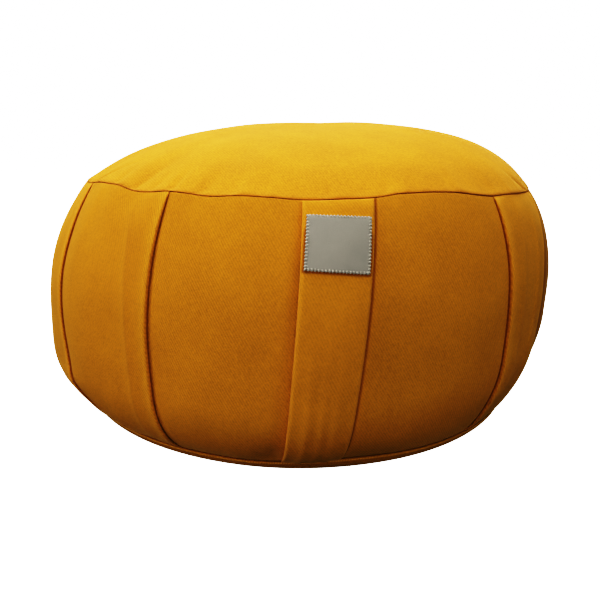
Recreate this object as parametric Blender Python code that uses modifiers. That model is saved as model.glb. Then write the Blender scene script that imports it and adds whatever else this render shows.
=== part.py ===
"""A zafu, the round meditation cushion: a stuffed body with a pleated side wall, a round top panel and
bottom panel, a carry handle sewn in at both seams, and a blank woven label on the handle.

Metres, +Z up. The handle faces -Y, and the origin is the middle of the underside. An azimuth is in
degrees round the cushion's axis, 0 at the front and 90 at its right, which is +X.
"""

import math
from collections import namedtuple

import bmesh
import bpy
from mathutils import Vector

# Driving dimensions of the stuffed form. The seam draws the crown flatter round its rim by a share that
# fades out over the rim's reach, and a dome inside it keeps further in at this slanting rim
TOP_SEAM_R = 0.1475
BOTTOM_SEAM_R = 0.150
TOP_SEAM_Z = 0.1425
BOTTOM_SEAM_Z = 0.007
CROWN_RISE = 0.041
RIM_EASE = 0.70
RIM_REACH = 0.014
RIM_SLANT = 1.5
APEX_SHIFT_X = 0.005
LEAN_X = 0.0055
SAG_X = 0.0026
PANEL_BULGE = 0.0015
SEAM_TUCK = 0.0010
TUCK_REACH = 0.0030
LIFT_REACH_Z = 0.020

# Cloth, strap and the gap left between two pieces
PANEL_CLOTH = 0.0015
STRAP_CLOTH = 0.0024
LABEL_CLOTH = 0.0010
GAP = 0.0003
PANEL_INSET = PANEL_CLOTH + 2.0 * GAP
LOW_SHELF_Z = BOTTOM_SEAM_Z + 0.6 * GAP
HIGH_SHELF_Z = TOP_SEAM_Z - 0.6 * GAP
LOW_RIM_Z = BOTTOM_SEAM_Z - 0.6 * GAP
HIGH_RIM_Z = TOP_SEAM_Z + 0.6 * GAP

# Handle and label. The label is sewn on a little askew, clockwise by these degrees. The handle leans to its
# right by a share of its height, and the label on it doesn't
HANDLE_TOP_WIDTH = 0.0335
HANDLE_LOW_WIDTH = 0.0300
HANDLE_LOW_Z = 0.0105
HANDLE_HIGH_Z = 0.1395
HANDLE_STAND_OFF = 0.0028
HANDLE_BOW = 0.0006
LABEL_WIDTH = 0.0290
LABEL_LOW_Z = 0.1095
LABEL_HIGH_Z = 0.1340
LABEL_TURN = 3.8
HANDLE_LEAN = 0.065

# The stuffing has settled unevenly. For each side: the widest line's radius and height, how square the
# wall's shoulder is above and below it, and how full the crown is, where 2 is an ellipse
Side = namedtuple("Side", "azimuth belly_r belly_z upper lower crown")
SIDES = (
    Side(azimuth=0, belly_r=0.1680, belly_z=0.048, upper=2.6, lower=2.7, crown=1.55),
    Side(azimuth=90, belly_r=0.1705, belly_z=0.067, upper=3.0, lower=1.4, crown=2.05),
    Side(azimuth=180, belly_r=0.1700, belly_z=0.059, upper=2.9, lower=2.2, crown=1.80),
    Side(azimuth=270, belly_r=0.1695, belly_z=0.052, upper=2.9, lower=3.1, crown=1.73),
)

# Where the top seam rises or dips, and over how many degrees to each side
SeamLift = namedtuple("SeamLift", "azimuth rise reach")
SEAM_LIFTS = (
    SeamLift(azimuth=-51, rise=0.0020, reach=8),
    SeamLift(azimuth=2, rise=-0.0008, reach=9),
    SeamLift(azimuth=23, rise=0.0024, reach=8),
    SeamLift(azimuth=60, rise=-0.0014, reach=13),
    SeamLift(azimuth=112, rise=0.0014, reach=10),
    SeamLift(azimuth=168, rise=-0.0010, reach=12),
    SeamLift(azimuth=222, rise=0.0016, reach=9),
)

# Lines down the wall by their azimuths at the top seam, the belly and the bottom seam. A pleat's folded
# edge points towards larger azimuths where edge is 1, and towards smaller ones where it is -1
Line = namedtuple("Line", "top belly bottom edge", defaults=(0,))
HANDLE_LINE = Line(top=5, belly=5, bottom=3)
PLEATS = (
    Line(top=-58, belly=-54, bottom=-46, edge=1),
    Line(top=-28, belly=-26.5, bottom=-24, edge=1),
    Line(top=41, belly=42, bottom=41, edge=-1),
    Line(top=64.5, belly=56.5, bottom=58, edge=1),
    Line(top=92, belly=90, bottom=90, edge=1),
    Line(top=120, belly=119, bottom=121, edge=1),
    Line(top=149, belly=151, bottom=150, edge=1),
    Line(top=183, belly=182, bottom=180, edge=1),
    Line(top=213, belly=214, bottom=214, edge=1),
    Line(top=245, belly=246, bottom=247, edge=1),
    Line(top=278, belly=278, bottom=276, edge=1),
)

# A pleat's section: the distance from its folded edge, positive the way the edge points, and the height
# above the wall. The rows run from the panel on top to the panel beneath
FoldPoint = namedtuple("FoldPoint", "along out")
FOLD = (
    FoldPoint(along=-0.0200, out=0.0000),
    FoldPoint(along=-0.0135, out=0.0004),
    FoldPoint(along=-0.0080, out=0.0009),
    FoldPoint(along=-0.0032, out=0.0012),
    FoldPoint(along=-0.0012, out=0.0009),
    FoldPoint(along=-0.0002, out=-0.0002),
    FoldPoint(along=0.0002, out=-0.0018),
    FoldPoint(along=0.0010, out=-0.0019),
    FoldPoint(along=0.0032, out=-0.0010),
    FoldPoint(along=0.0090, out=-0.0004),
    FoldPoint(along=0.0200, out=0.0000),
)
FOLD_AT_SEAM = 0.55
STATION_PITCH = 0.018

# Mesh steps
WALL_ROWS = 16
CROWN_ROWS = 9
PANEL_STATIONS = 72
ROLL_STEPS = 4
HANDLE_COLUMNS = 6
HANDLE_ROWS = 18
LABEL_STEPS = 6

# Colours, linear
Finish = namedtuple("Finish", "colour roughness")
FINISHES = {
    "wall_twill": Finish(colour=(0.62, 0.27, 0.010), roughness=0.86),
    "panel_twill": Finish(colour=(0.72, 0.36, 0.015), roughness=0.86),
    "handle_twill": Finish(colour=(0.62, 0.28, 0.012), roughness=0.84),
    "label_satin": Finish(colour=(0.62, 0.63, 0.60), roughness=0.55),
}


def mix(a, b, share):
    return a + (b - a) * share


def axis_x(z):
    """The cushion leans to its right with height, sags a little to its left, and its apex lies to the
    right again."""
    rise = z / TOP_SEAM_Z
    crown_share = max(z - TOP_SEAM_Z, 0.0) / CROWN_RISE
    return LEAN_X * rise - SAG_X * math.sin(math.pi * min(max(rise, 0.0), 1.0)) + APEX_SHIFT_X * crown_share


def wall_share(z):
    """0 at the bottom seam and 1 at the top seam."""
    return (z - BOTTOM_SEAM_Z) / (TOP_SEAM_Z - BOTTOM_SEAM_Z)


def swell(z):
    """1 along the wall's middle and 0 at both seams, where the stuffing can't push the cloth out."""
    return 1.0 - (2.0 * wall_share(z) - 1.0) ** 4


def side_value(azimuth, column):
    """A column of the sides' table, blended from the two sides nearest this azimuth."""
    turns = [math.cos(math.radians(azimuth - side.azimuth)) for side in SIDES]
    return sum(max(turn, 0.0) ** 2 * getattr(side, column) for turn, side in zip(turns, SIDES))


def seam_tuck(distance):
    """How far the cloth turns in, this far from a seam."""
    return SEAM_TUCK * math.exp(-max(distance, 0.0) / TUCK_REACH)


def crest_radius(azimuth, z):
    """The wall's radius along the fullest line of its panels."""
    belly_r, belly_z = side_value(azimuth, "belly_r"), side_value(azimuth, "belly_z")
    if z >= belly_z:
        rise = (z - belly_z) / (TOP_SEAM_Z - belly_z)
        drawn_in = (belly_r - TOP_SEAM_R) * rise ** side_value(azimuth, "upper")
    else:
        fall = (belly_z - z) / (belly_z - BOTTOM_SEAM_Z)
        drawn_in = (belly_r - BOTTOM_SEAM_R) * fall ** side_value(azimuth, "lower")
    return belly_r - drawn_in - seam_tuck(min(TOP_SEAM_Z - z, z - BOTTOM_SEAM_Z))


def line_azimuth(line, z):
    """A smooth curve through the line's three azimuths."""
    t = wall_share(z)
    middle = 2.0 * line.belly - 0.5 * (line.top + line.bottom)
    return line.bottom * (1 - t) ** 2 + 2.0 * middle * t * (1 - t) + line.top * t**2


def panel_bulge(azimuth, z):
    """How far the wall falls short of its fullest line at this azimuth, between two pleats."""
    lines = sorted(line_azimuth(pleat, z) % 360.0 for pleat in PLEATS)
    turned = azimuth % 360.0
    lower = max((a for a in lines if a <= turned), default=lines[-1] - 360.0)
    upper = min((a for a in lines if a > turned), default=lines[0] + 360.0)
    across = 2.0 * (turned - lower) / (upper - lower) - 1.0
    return PANEL_BULGE * swell(z) * across**2


def seam_lift(azimuth, z):
    """How far the uneven top seam carries the cloth up or down."""
    lift = 0.0
    for row in SEAM_LIFTS:
        apart = (azimuth - row.azimuth + 180.0) % 360.0 - 180.0
        lift += row.rise * math.exp(-((apart / row.reach) ** 2))
    return lift * math.exp(-(((z - TOP_SEAM_Z) / LIFT_REACH_Z) ** 2))


def polar(azimuth, radius, z):
    angle = math.radians(azimuth)
    x = axis_x(z) + radius * math.sin(angle)
    return Vector((x, -radius * math.cos(angle), z + seam_lift(azimuth, z)))


def wall_point(azimuth, z, out=0.0):
    """A point on the smooth wall, or a distance out from it along its normal."""
    radius = crest_radius(azimuth, z) - panel_bulge(azimuth, z)
    step = 0.0002
    low, high = max(z - step, BOTTOM_SEAM_Z), min(z + step, TOP_SEAM_Z)
    slope = (crest_radius(azimuth, high) - crest_radius(azimuth, low)) / (high - low)
    length = math.hypot(1.0, slope)
    height = min(max(z - out * slope / length, LOW_SHELF_Z), HIGH_SHELF_Z)
    return polar(azimuth, radius + out / length, height)


def wall_heights():
    """Heights of the wall's rows, closer together towards both seams."""
    for row in range(WALL_ROWS + 1):
        share = 0.5 - 0.5 * math.cos(math.pi * row / WALL_ROWS)
        yield mix(BOTTOM_SEAM_Z, TOP_SEAM_Z, share)


def fold_stations(z):
    """(azimuth, height above the wall) right round the wall at one height: each pleat's section, and
    evenly spaced stations on the plain cloth up to the next pleat."""
    fold_height = mix(FOLD_AT_SEAM, 1.0, swell(z))
    sections = []
    for pleat in PLEATS:
        degrees = math.degrees(1.0 / crest_radius(pleat.belly, z))
        middle = line_azimuth(pleat, z)
        rows = FOLD if pleat.edge > 0 else FOLD[::-1]
        sections.append([(middle + p.along * pleat.edge * degrees, p.out * fold_height) for p in rows])
    stations = []
    for index, section in enumerate(sections):
        following = sections[(index + 1) % len(sections)]
        turn = 360.0 if index + 1 == len(sections) else 0.0
        start, end = section[-1][0], following[0][0] + turn
        between = plain_stations(index)
        stations += section
        stations += [(mix(start, end, (n + 1) / (between + 1)), 0.0) for n in range(between)]
    return stations


def plain_stations(index):
    """How many stations the plain cloth between this pleat and the next one takes."""
    pleat, following = PLEATS[index], PLEATS[(index + 1) % len(PLEATS)]
    degrees = (following.belly - pleat.belly) % 360.0
    plain = math.radians(degrees) * BOTTOM_SEAM_R - (FOLD[-1].along - FOLD[0].along)
    return max(round(plain / STATION_PITCH), 0)


def crown_profile(azimuth, inset=0.0):
    """(radius, height) of the domed top from its middle to the top seam, or of a dome inside it."""
    power = 2.0 / side_value(azimuth, "crown")
    seam_r = TOP_SEAM_R - inset * RIM_SLANT
    points = []
    for row in range(CROWN_ROWS + 1):
        angle = 0.5 * math.pi * math.sin(0.5 * math.pi * row / CROWN_ROWS)
        radius = seam_r * math.sin(angle) ** power
        eased = 1.0 - RIM_EASE * math.exp((radius - seam_r) / RIM_REACH)
        rise = (CROWN_RISE - inset) * abs(math.cos(angle)) ** power * eased
        points.append((radius - seam_tuck(rise), TOP_SEAM_Z + rise))
    return points


def base_profile(inset=0.0):
    """(radius, height) of the flat underside and its roll, from the middle to the bottom seam."""
    flat = BOTTOM_SEAM_R - BOTTOM_SEAM_Z
    points = [(0.0, 0.0), (0.5 * flat, 0.0)]
    for step in range(ROLL_STEPS + 1):
        angle = 0.5 * math.pi * step / ROLL_STEPS
        fall = BOTTOM_SEAM_Z * math.cos(angle)
        points.append((flat + BOTTOM_SEAM_Z * math.sin(angle) - seam_tuck(fall), BOTTOM_SEAM_Z - fall))
    return inset_profile(points, inset)


def inset_profile(points, depth):
    """Moves a profile square to itself, to the left of its way from the axis outwards."""
    moved = []
    for index, (radius, z) in enumerate(points):
        before, after = points[max(index - 1, 0)], points[min(index + 1, len(points) - 1)]
        along = Vector((after[0] - before[0], after[1] - before[1])).normalized()
        if index == 0:
            along = Vector((1.0, 0.0))
        moved.append((radius - along.y * depth, z + along.x * depth))
    return moved


def loft(name, rings, pole_low=None, pole_high=None):
    """A mesh through rings of points, each with the same number of points, run from low to high and
    closed by a fan where a pole is given."""
    shape = bmesh.new()
    rows = [[shape.verts.new(point) for point in ring] for ring in rings]
    count = len(rows[0])
    for lower, upper in zip(rows, rows[1:]):
        for n in range(count):
            m = (n + 1) % count
            shape.faces.new((lower[n], lower[m], upper[m], upper[n]))
    for pole, row in ((pole_low, rows[0]), (pole_high, rows[-1])):
        if pole is not None:
            middle = shape.verts.new(pole)
            for n in range(count):
                shape.faces.new((middle, row[n], row[(n + 1) % count]))
    bmesh.ops.recalc_face_normals(shape, faces=shape.faces)
    mesh = bpy.data.meshes.new(name)
    shape.to_mesh(mesh)
    shape.free()
    return mesh


def patch(name, across, up, place):
    """A grid of cloth laid on the cushion: place takes a share across, -1 to 1, and a share up, 0 to 1."""
    shape = bmesh.new()
    bmesh.ops.create_grid(shape, x_segments=across, y_segments=up, size=1.0)
    for vert in shape.verts:
        vert.co = place(vert.co.x, 0.5 + 0.5 * vert.co.y)
    mesh = bpy.data.meshes.new(name)
    shape.to_mesh(mesh)
    shape.free()
    return mesh


def material(name):
    finish = FINISHES[name]
    made = bpy.data.materials.new(name)
    made.use_nodes = True
    shader = made.node_tree.nodes["Principled BSDF"]
    shader.inputs["Base Color"].default_value = (*finish.colour, 1.0)
    shader.inputs["Roughness"].default_value = finish.roughness
    shader.inputs["Metallic"].default_value = 0.0
    return made


def add_piece(collection, name, mesh, finish, cloth=0.0, outward=-1.0):
    """A named object in the collection. An open surface gets its cloth's thickness from Solidify."""
    piece = bpy.data.objects.new(name, mesh)
    collection.objects.link(piece)
    mesh.materials.append(material(finish))
    mesh.shade_smooth()
    mesh.set_sharp_from_angle(angle=math.radians(40.0))
    if cloth:
        wall = piece.modifiers.new("cloth", "SOLIDIFY")
        wall.thickness = cloth
        wall.offset = outward
        wall.use_even_offset = True
    return piece


def base_rings(azimuths, inset=0.0):
    """Rings of the underside and its roll, from near the middle to the bottom seam."""
    return [[polar(azimuth, *point) for azimuth in azimuths] for point in base_profile(inset)[1:]]


def crown_rings(azimuths, inset=0.0):
    """Rings of the crown, from the top seam to near the apex."""
    profiles = [crown_profile(azimuth, inset) for azimuth in azimuths]
    rows = range(CROWN_ROWS, 0, -1)
    return [[polar(azimuth, *profile[row]) for azimuth, profile in zip(azimuths, profiles)] for row in rows]


def level(ring, azimuths, z):
    """A ring turned into a shelf or rim that follows the seam at this height."""
    return [Vector((p.x, p.y, z + seam_lift(azimuth, z))) for azimuth, p in zip(azimuths, ring)]


def body_mesh():
    """The one filled solid: base and roll, pleated wall, and the crown under the top panel."""
    low_azimuths = [azimuth for azimuth, out in fold_stations(BOTTOM_SEAM_Z)]
    high_azimuths = [azimuth for azimuth, out in fold_stations(TOP_SEAM_Z)]
    base, crown = base_rings(low_azimuths, PANEL_INSET), crown_rings(high_azimuths, PANEL_INSET)
    base[-1] = level(base[-1], low_azimuths, LOW_SHELF_Z)
    crown[0] = level(crown[0], high_azimuths, HIGH_SHELF_Z)
    wall = [[wall_point(azimuth, z, out) for azimuth, out in fold_stations(z)] for z in wall_heights()]
    underside = polar(0.0, 0.0, PANEL_INSET)
    apex = polar(0.0, 0.0, TOP_SEAM_Z + CROWN_RISE - PANEL_INSET)
    return loft("cushion_body", base + wall + crown, underside, apex)


def panel_azimuths():
    return [360.0 * n / PANEL_STATIONS for n in range(PANEL_STATIONS)]


def top_panel_mesh():
    """A closed shell of cloth, with its rim level at the top seam."""
    azimuths = panel_azimuths()
    inner, outer = crown_rings(azimuths, PANEL_CLOTH), crown_rings(azimuths)
    inner[0], outer[0] = level(inner[0], azimuths, HIGH_RIM_Z), level(outer[0], azimuths, HIGH_RIM_Z)
    apex = polar(0.0, 0.0, TOP_SEAM_Z + CROWN_RISE)
    return loft("top_panel", inner[::-1] + outer, apex - Vector((0.0, 0.0, PANEL_CLOTH)), apex)


def bottom_panel_mesh():
    rings = base_rings(panel_azimuths())
    rings[-1] = level(rings[-1], panel_azimuths(), LOW_RIM_Z)
    return loft("bottom_panel", rings, pole_low=polar(0.0, 0.0, 0.0))


def strap_width(z):
    return mix(HANDLE_LOW_WIDTH, HANDLE_TOP_WIDTH, wall_share(z))


def strap_point(share, z, out):
    """A point on the handle: a share of its width, -1 to 1 across, at a height on the wall."""
    width = strap_width(z)
    middle = line_azimuth(HANDLE_LINE, z)
    stand_off = HANDLE_STAND_OFF * math.sin(math.pi * wall_share(z)) ** 0.8
    bow = HANDLE_BOW * swell(z) * (1.0 - share**2)
    azimuth = middle + math.degrees(0.5 * share * width / crest_radius(middle, z))
    return wall_point(azimuth, z, GAP + stand_off + bow + out)


def handle_mesh():
    def place(across, up):
        z = mix(HANDLE_LOW_Z, HANDLE_HIGH_Z, 0.5 - 0.5 * math.cos(math.pi * up))
        return strap_point(across, z, 0.0)

    return patch("carry_handle", HANDLE_COLUMNS, HANDLE_ROWS, place)


def label_mesh():
    turn = math.radians(LABEL_TURN)

    def place(across, up):
        side, rise = 0.5 * LABEL_WIDTH * across, (up - 0.5) * (LABEL_HIGH_Z - LABEL_LOW_Z)
        right = side * math.cos(turn) + rise * math.sin(turn)
        climb = rise * math.cos(turn) - side * math.sin(turn)
        z = 0.5 * (LABEL_LOW_Z + LABEL_HIGH_Z) + climb
        return strap_point(2.0 * (right - HANDLE_LEAN * climb) / strap_width(z), z, STRAP_CLOTH + GAP)

    return patch("side_label", LABEL_STEPS, LABEL_STEPS, place)


def centre_on_origin(pieces, holder):
    """Moves the holder so that the middle of the whole cushion's box stands over the origin."""
    bpy.context.view_layer.update()
    graph = bpy.context.evaluated_depsgraph_get()
    corners = [Vector(corner) for piece in pieces for corner in piece.evaluated_get(graph).bound_box]
    for axis in (0, 1):
        values = [corner[axis] for corner in corners]
        holder.location[axis] = -0.5 * (min(values) + max(values))


def main():
    for old in list(bpy.data.objects):
        bpy.data.objects.remove(old, do_unlink=True)
    collection = bpy.data.collections.new("zafu_cushion")
    bpy.context.scene.collection.children.link(collection)
    holder = bpy.data.objects.new("zafu_origin", None)
    collection.objects.link(holder)
    pieces = [
        add_piece(collection, "cushion_body", body_mesh(), "wall_twill"),
        add_piece(collection, "top_panel", top_panel_mesh(), "panel_twill"),
        add_piece(collection, "bottom_panel", bottom_panel_mesh(), "panel_twill", PANEL_CLOTH),
        add_piece(collection, "carry_handle", handle_mesh(), "handle_twill", STRAP_CLOTH, 1.0),
        add_piece(collection, "side_label", label_mesh(), "label_satin", LABEL_CLOTH, 1.0),
    ]
    for piece in pieces:
        piece.parent = holder
    centre_on_origin(pieces, holder)


main()
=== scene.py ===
"""The looks of a zafu, the round meditation cushion: a stuffed wall with pressed pleats, a domed top
cover, a flat bottom cover, a carry handle sewn in at both seams, and a blank satin label on the handle.

Metres, +Z up. The handle faces -Y. An azimuth is in degrees round the cushion's axis, 0 at the front and
90 at its right, which is +X. The stuffed form follows the solids' within about a millimetre.
"""

import math
from collections import namedtuple

import bpy
import numpy as np
from mathutils import Matrix, Vector


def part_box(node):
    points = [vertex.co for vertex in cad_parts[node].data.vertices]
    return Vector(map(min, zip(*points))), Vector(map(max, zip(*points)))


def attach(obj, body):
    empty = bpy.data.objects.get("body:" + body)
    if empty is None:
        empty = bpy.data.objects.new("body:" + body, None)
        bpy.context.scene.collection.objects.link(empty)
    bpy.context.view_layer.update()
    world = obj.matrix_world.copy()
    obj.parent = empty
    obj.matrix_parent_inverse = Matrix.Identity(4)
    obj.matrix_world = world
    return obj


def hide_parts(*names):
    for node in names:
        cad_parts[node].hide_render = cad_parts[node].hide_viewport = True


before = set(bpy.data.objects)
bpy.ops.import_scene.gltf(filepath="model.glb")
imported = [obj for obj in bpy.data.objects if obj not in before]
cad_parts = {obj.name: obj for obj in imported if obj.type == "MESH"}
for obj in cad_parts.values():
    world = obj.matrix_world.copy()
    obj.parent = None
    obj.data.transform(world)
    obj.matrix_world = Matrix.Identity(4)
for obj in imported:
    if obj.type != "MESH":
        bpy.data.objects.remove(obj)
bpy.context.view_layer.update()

MM = 0.001

# Driving dimensions of the stuffed form. The seam draws the crown flatter round its rim by a share that
# fades out over the rim's reach
TOP_SEAM_R = 0.1475
BOTTOM_SEAM_R = 0.150
TOP_SEAM_Z = 0.1425
BOTTOM_SEAM_Z = 0.007
CROWN_RISE = 0.041
RIM_EASE = 0.70
RIM_REACH = 0.014
RIM_SLANT = 1.5
APEX_SHIFT_X = 0.005
APEX_RISE = 0.00005
LEAN_X = 0.0055
SAG_X = 0.0026
PANEL_BULGE = 0.0015
LIFT_REACH_Z = 0.020
BASE_REACH_Z = 0.012
NORMAL_STEP = 0.0002

# Cloth, strap, label and the gap left between two pieces
PANEL_CLOTH = 0.0015
STRAP_CLOTH = 0.0024
LABEL_CLOTH = 0.0006
GAP = 0.0003
SHELF_GAP = 0.6 * GAP
COVER_ROOM = PANEL_CLOTH + 0.0022
BAND_EDGE_POWER = 40

# Handle and label. The label is sewn on a little askew, clockwise by these degrees. The handle leans to its
# right by a share of its height, and the label on it doesn't
HANDLE_TOP_WIDTH = 0.0335
HANDLE_LOW_WIDTH = 0.0300
HANDLE_LOW_Z = 0.0078
HANDLE_HIGH_Z = 0.1417
HANDLE_STAND_OFF = 0.0028
HANDLE_BOW = 0.0006
HANDLE_TOP_PINCH = 0.0030
HANDLE_LOW_PINCH = 0.0080
HANDLE_TOP_THINNED = 0.55
HANDLE_LOW_THINNED = 0.70
LABEL_WIDTH = 0.0290
LABEL_LOW_Z = 0.1095
LABEL_HIGH_Z = 0.1340
LABEL_TURN = 3.8
HANDLE_LEAN = 0.065
LABEL_MIDDLE_Z = 0.5 * (LABEL_LOW_Z + LABEL_HIGH_Z)
LABEL_HALF = 0.5 * (LABEL_HIGH_Z - LABEL_LOW_Z)
LABEL_EDGE_SHARE = 0.4
LABEL_EDGE_REACH = 0.0006
LABEL_WAVE = 0.00012

# The layers folded inside the handle make soft ridges, plainest in its lower half: where they lie, as
# shares of half its width, how wide and high they are, and the height at which they have faded out
RIDGES_AT = (-0.44, 0.02, 0.46)
RIDGES_WIDTH = 0.17
RIDGES_HEIGHT = 0.0007
RIDGES_END_Z = 0.085
RIDGES_FADE_Z = 0.05

# The handle's left and right folded edges get a painted highlight of these shares
HANDLE_HIGHLIGHT_LEFT = 0.7
HANDLE_HIGHLIGHT_RIGHT = 0.3

# The shade beside a piece that lies on top. Its attribute is 1 at the piece's edge and grows by 1 over the
# reach. The shade lies between the low and the high value, and is deepest midway
BESIDE_REACH = 0.010
BESIDE_LOW = 0.92
BESIDE_HIGH = 1.17
BESIDE_DEPTH = 0.85

# The label's shade fades out towards its top edge, between these distances below that edge, as this share
# is added to the attribute
LABEL_FADE = 0.17
LABEL_FADE_LOW = 0.008
LABEL_FADE_HIGH = 0.002

# The stuffing has settled unevenly. For each side: the widest line's radius and height, how square the
# wall's shoulder is above and below it, and how full the crown is, where 2 is an ellipse
Side = namedtuple("Side", "azimuth belly_r belly_z upper lower crown")
SIDES = (
    Side(azimuth=0, belly_r=0.1680, belly_z=0.048, upper=2.6, lower=2.7, crown=1.55),
    Side(azimuth=90, belly_r=0.1705, belly_z=0.067, upper=3.0, lower=1.4, crown=2.05),
    Side(azimuth=180, belly_r=0.1700, belly_z=0.059, upper=2.9, lower=2.2, crown=1.80),
    Side(azimuth=270, belly_r=0.1695, belly_z=0.052, upper=2.9, lower=3.1, crown=1.73),
)

# Where the top seam rises or dips, and over how many degrees to each side
SeamLift = namedtuple("SeamLift", "azimuth rise reach")
SEAM_LIFTS = (
    SeamLift(azimuth=-51, rise=0.0020, reach=8),
    SeamLift(azimuth=2, rise=-0.0008, reach=9),
    SeamLift(azimuth=23, rise=0.0024, reach=8),
    SeamLift(azimuth=60, rise=-0.0014, reach=13),
    SeamLift(azimuth=112, rise=0.0014, reach=10),
    SeamLift(azimuth=168, rise=-0.0010, reach=12),
    SeamLift(azimuth=222, rise=0.0016, reach=9),
    SeamLift(azimuth=-44, rise=0.0007, reach=3),
    SeamLift(azimuth=-36, rise=-0.0008, reach=4),
    SeamLift(azimuth=-28.5, rise=0.0005, reach=2.5),
    SeamLift(azimuth=-19, rise=-0.0007, reach=4),
    SeamLift(azimuth=-2, rise=-0.0005, reach=5),
    SeamLift(azimuth=16.5, rise=0.0005, reach=2.5),
    SeamLift(azimuth=30.5, rise=0.0006, reach=4),
    SeamLift(azimuth=41.5, rise=-0.0008, reach=4),
)
BASE_LIFTS = (
    SeamLift(azimuth=12, rise=0.0012, reach=11),
    SeamLift(azimuth=-9, rise=-0.0004, reach=6),
    SeamLift(azimuth=150, rise=0.0007, reach=14),
    SeamLift(azimuth=235, rise=0.0006, reach=11),
)

# Places where the stuffing pushes the wall out or leaves it slack
Push = namedtuple("Push", "azimuth z out turn reach")
PUSHES = (
    Push(azimuth=-52, z=0.034, out=0.0012, turn=6, reach=0.006),
    Push(azimuth=-54, z=0.019, out=-0.0009, turn=9, reach=0.006),
    Push(azimuth=-3.5, z=0.013, out=-0.0016, turn=2.6, reach=0.007),
    Push(azimuth=24, z=0.085, out=0.0006, turn=12, reach=0.022),
    Push(azimuth=133, z=0.040, out=-0.0010, turn=8, reach=0.016),
    Push(azimuth=200, z=0.100, out=0.0008, turn=9, reach=0.020),
)

# Soft pulls in the top cover, where it is eased into the seam: the azimuth at the seam, the degrees that
# they drift on their way in, how far they run in, how deep and how wide they are
Pull = namedtuple("Pull", "azimuth drift length depth width")
PULLS = (
    Pull(azimuth=-58.5, drift=13, length=0.030, depth=0.0018, width=0.0017),
    Pull(azimuth=-45.0, drift=-2, length=0.026, depth=0.0008, width=0.0020),
    Pull(azimuth=-39.0, drift=2, length=0.034, depth=0.0011, width=0.0022),
    Pull(azimuth=-33.5, drift=1, length=0.024, depth=0.0008, width=0.0016),
    Pull(azimuth=-28.0, drift=-2, length=0.038, depth=0.0013, width=0.0021),
    Pull(azimuth=-21.5, drift=1, length=0.026, depth=0.0008, width=0.0019),
    Pull(azimuth=-15.0, drift=-1, length=0.030, depth=0.0008, width=0.0024),
    Pull(azimuth=13.5, drift=2, length=0.020, depth=0.0006, width=0.0020),
    Pull(azimuth=62.0, drift=-9, length=0.028, depth=0.0013, width=0.0018),
    Pull(azimuth=92.0, drift=3, length=0.030, depth=0.0010, width=0.0022),
    Pull(azimuth=119.0, drift=-2, length=0.026, depth=0.0010, width=0.0018),
    Pull(azimuth=152.0, drift=3, length=0.034, depth=0.0011, width=0.0023),
    Pull(azimuth=186.0, drift=-3, length=0.030, depth=0.0010, width=0.0020),
    Pull(azimuth=217.0, drift=2, length=0.028, depth=0.0011, width=0.0019),
    Pull(azimuth=249.0, drift=-2, length=0.032, depth=0.0010, width=0.0022),
    Pull(azimuth=282.0, drift=3, length=0.026, depth=0.0010, width=0.0018),
)

# Lines down the wall by their azimuths at the top seam, the belly and the bottom seam. A pleat's folded
# edge points towards larger azimuths where edge is 1, and towards smaller ones where it is -1. The layers
# turned under it show through where under is 1, and past is how many millimetres of the next panel get its
# painted shade. Ridge is how strongly the painted highlight and shade along the edge of those layers show
# on the panel over them
Line = namedtuple("Line", "top belly bottom edge under past ridge", defaults=(0, 1, 0, 0.4))
HANDLE_LINE = Line(top=5, belly=5, bottom=3)
PLEATS = (
    Line(top=-58, belly=-54, bottom=-46, edge=1, under=0, past=1.6, ridge=0),
    Line(top=-28, belly=-26.5, bottom=-24, edge=1, ridge=1),
    Line(top=41, belly=42, bottom=41, edge=-1, ridge=0),
    Line(top=64.5, belly=56.5, bottom=58, edge=1, past=27, ridge=0),
    Line(top=92, belly=90, bottom=90, edge=1),
    Line(top=120, belly=119, bottom=121, edge=1),
    Line(top=149, belly=151, bottom=150, edge=1),
    Line(top=183, belly=182, bottom=180, edge=1),
    Line(top=213, belly=214, bottom=214, edge=1),
    Line(top=245, belly=246, bottom=247, edge=1),
    Line(top=278, belly=278, bottom=276, edge=1),
)

# A pleat's section in millimetres: the distance from its folded edge, positive the way the edge points, and
# the height above the wall. It runs from the panel on top, round the folded edge, down into the crease
# beneath it and out onto the next panel. Shade is how deep the painted shade is, 1 inside the crease
FoldPoint = namedtuple("FoldPoint", "along out shade", defaults=(0.0,))
FOLD = (
    FoldPoint(along=-20.00, out=0.00),
    FoldPoint(along=-18.20, out=0.05),
    FoldPoint(along=-16.40, out=0.10),
    FoldPoint(along=-14.60, out=0.17),
    FoldPoint(along=-13.00, out=0.25),
    FoldPoint(along=-11.40, out=0.32),
    FoldPoint(along=-9.90, out=0.38),
    FoldPoint(along=-8.40, out=0.44),
    FoldPoint(along=-7.00, out=0.50),
    FoldPoint(along=-3.40, out=0.80),
    FoldPoint(along=-1.60, out=0.95),
    FoldPoint(along=-0.70, out=0.90),
    FoldPoint(along=-0.20, out=0.65, shade=0.05),
    FoldPoint(along=0.00, out=0.30, shade=0.20),
    FoldPoint(along=-0.03, out=-0.10, shade=0.45),
    FoldPoint(along=-0.12, out=-0.60, shade=0.70),
    FoldPoint(along=-0.18, out=-1.00, shade=0.85),
    FoldPoint(along=-0.08, out=-1.40, shade=0.90),
    FoldPoint(along=0.08, out=-1.40, shade=0.80),
    FoldPoint(along=0.20, out=-1.00, shade=0.60),
    FoldPoint(along=0.40, out=-0.66, shade=0.30),
    FoldPoint(along=0.90, out=-0.50, shade=0.08),
    FoldPoint(along=3.00, out=-0.40),
    FoldPoint(along=7.00, out=-0.25),
    FoldPoint(along=13.00, out=-0.10),
    FoldPoint(along=20.00, out=0.00),
)
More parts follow.
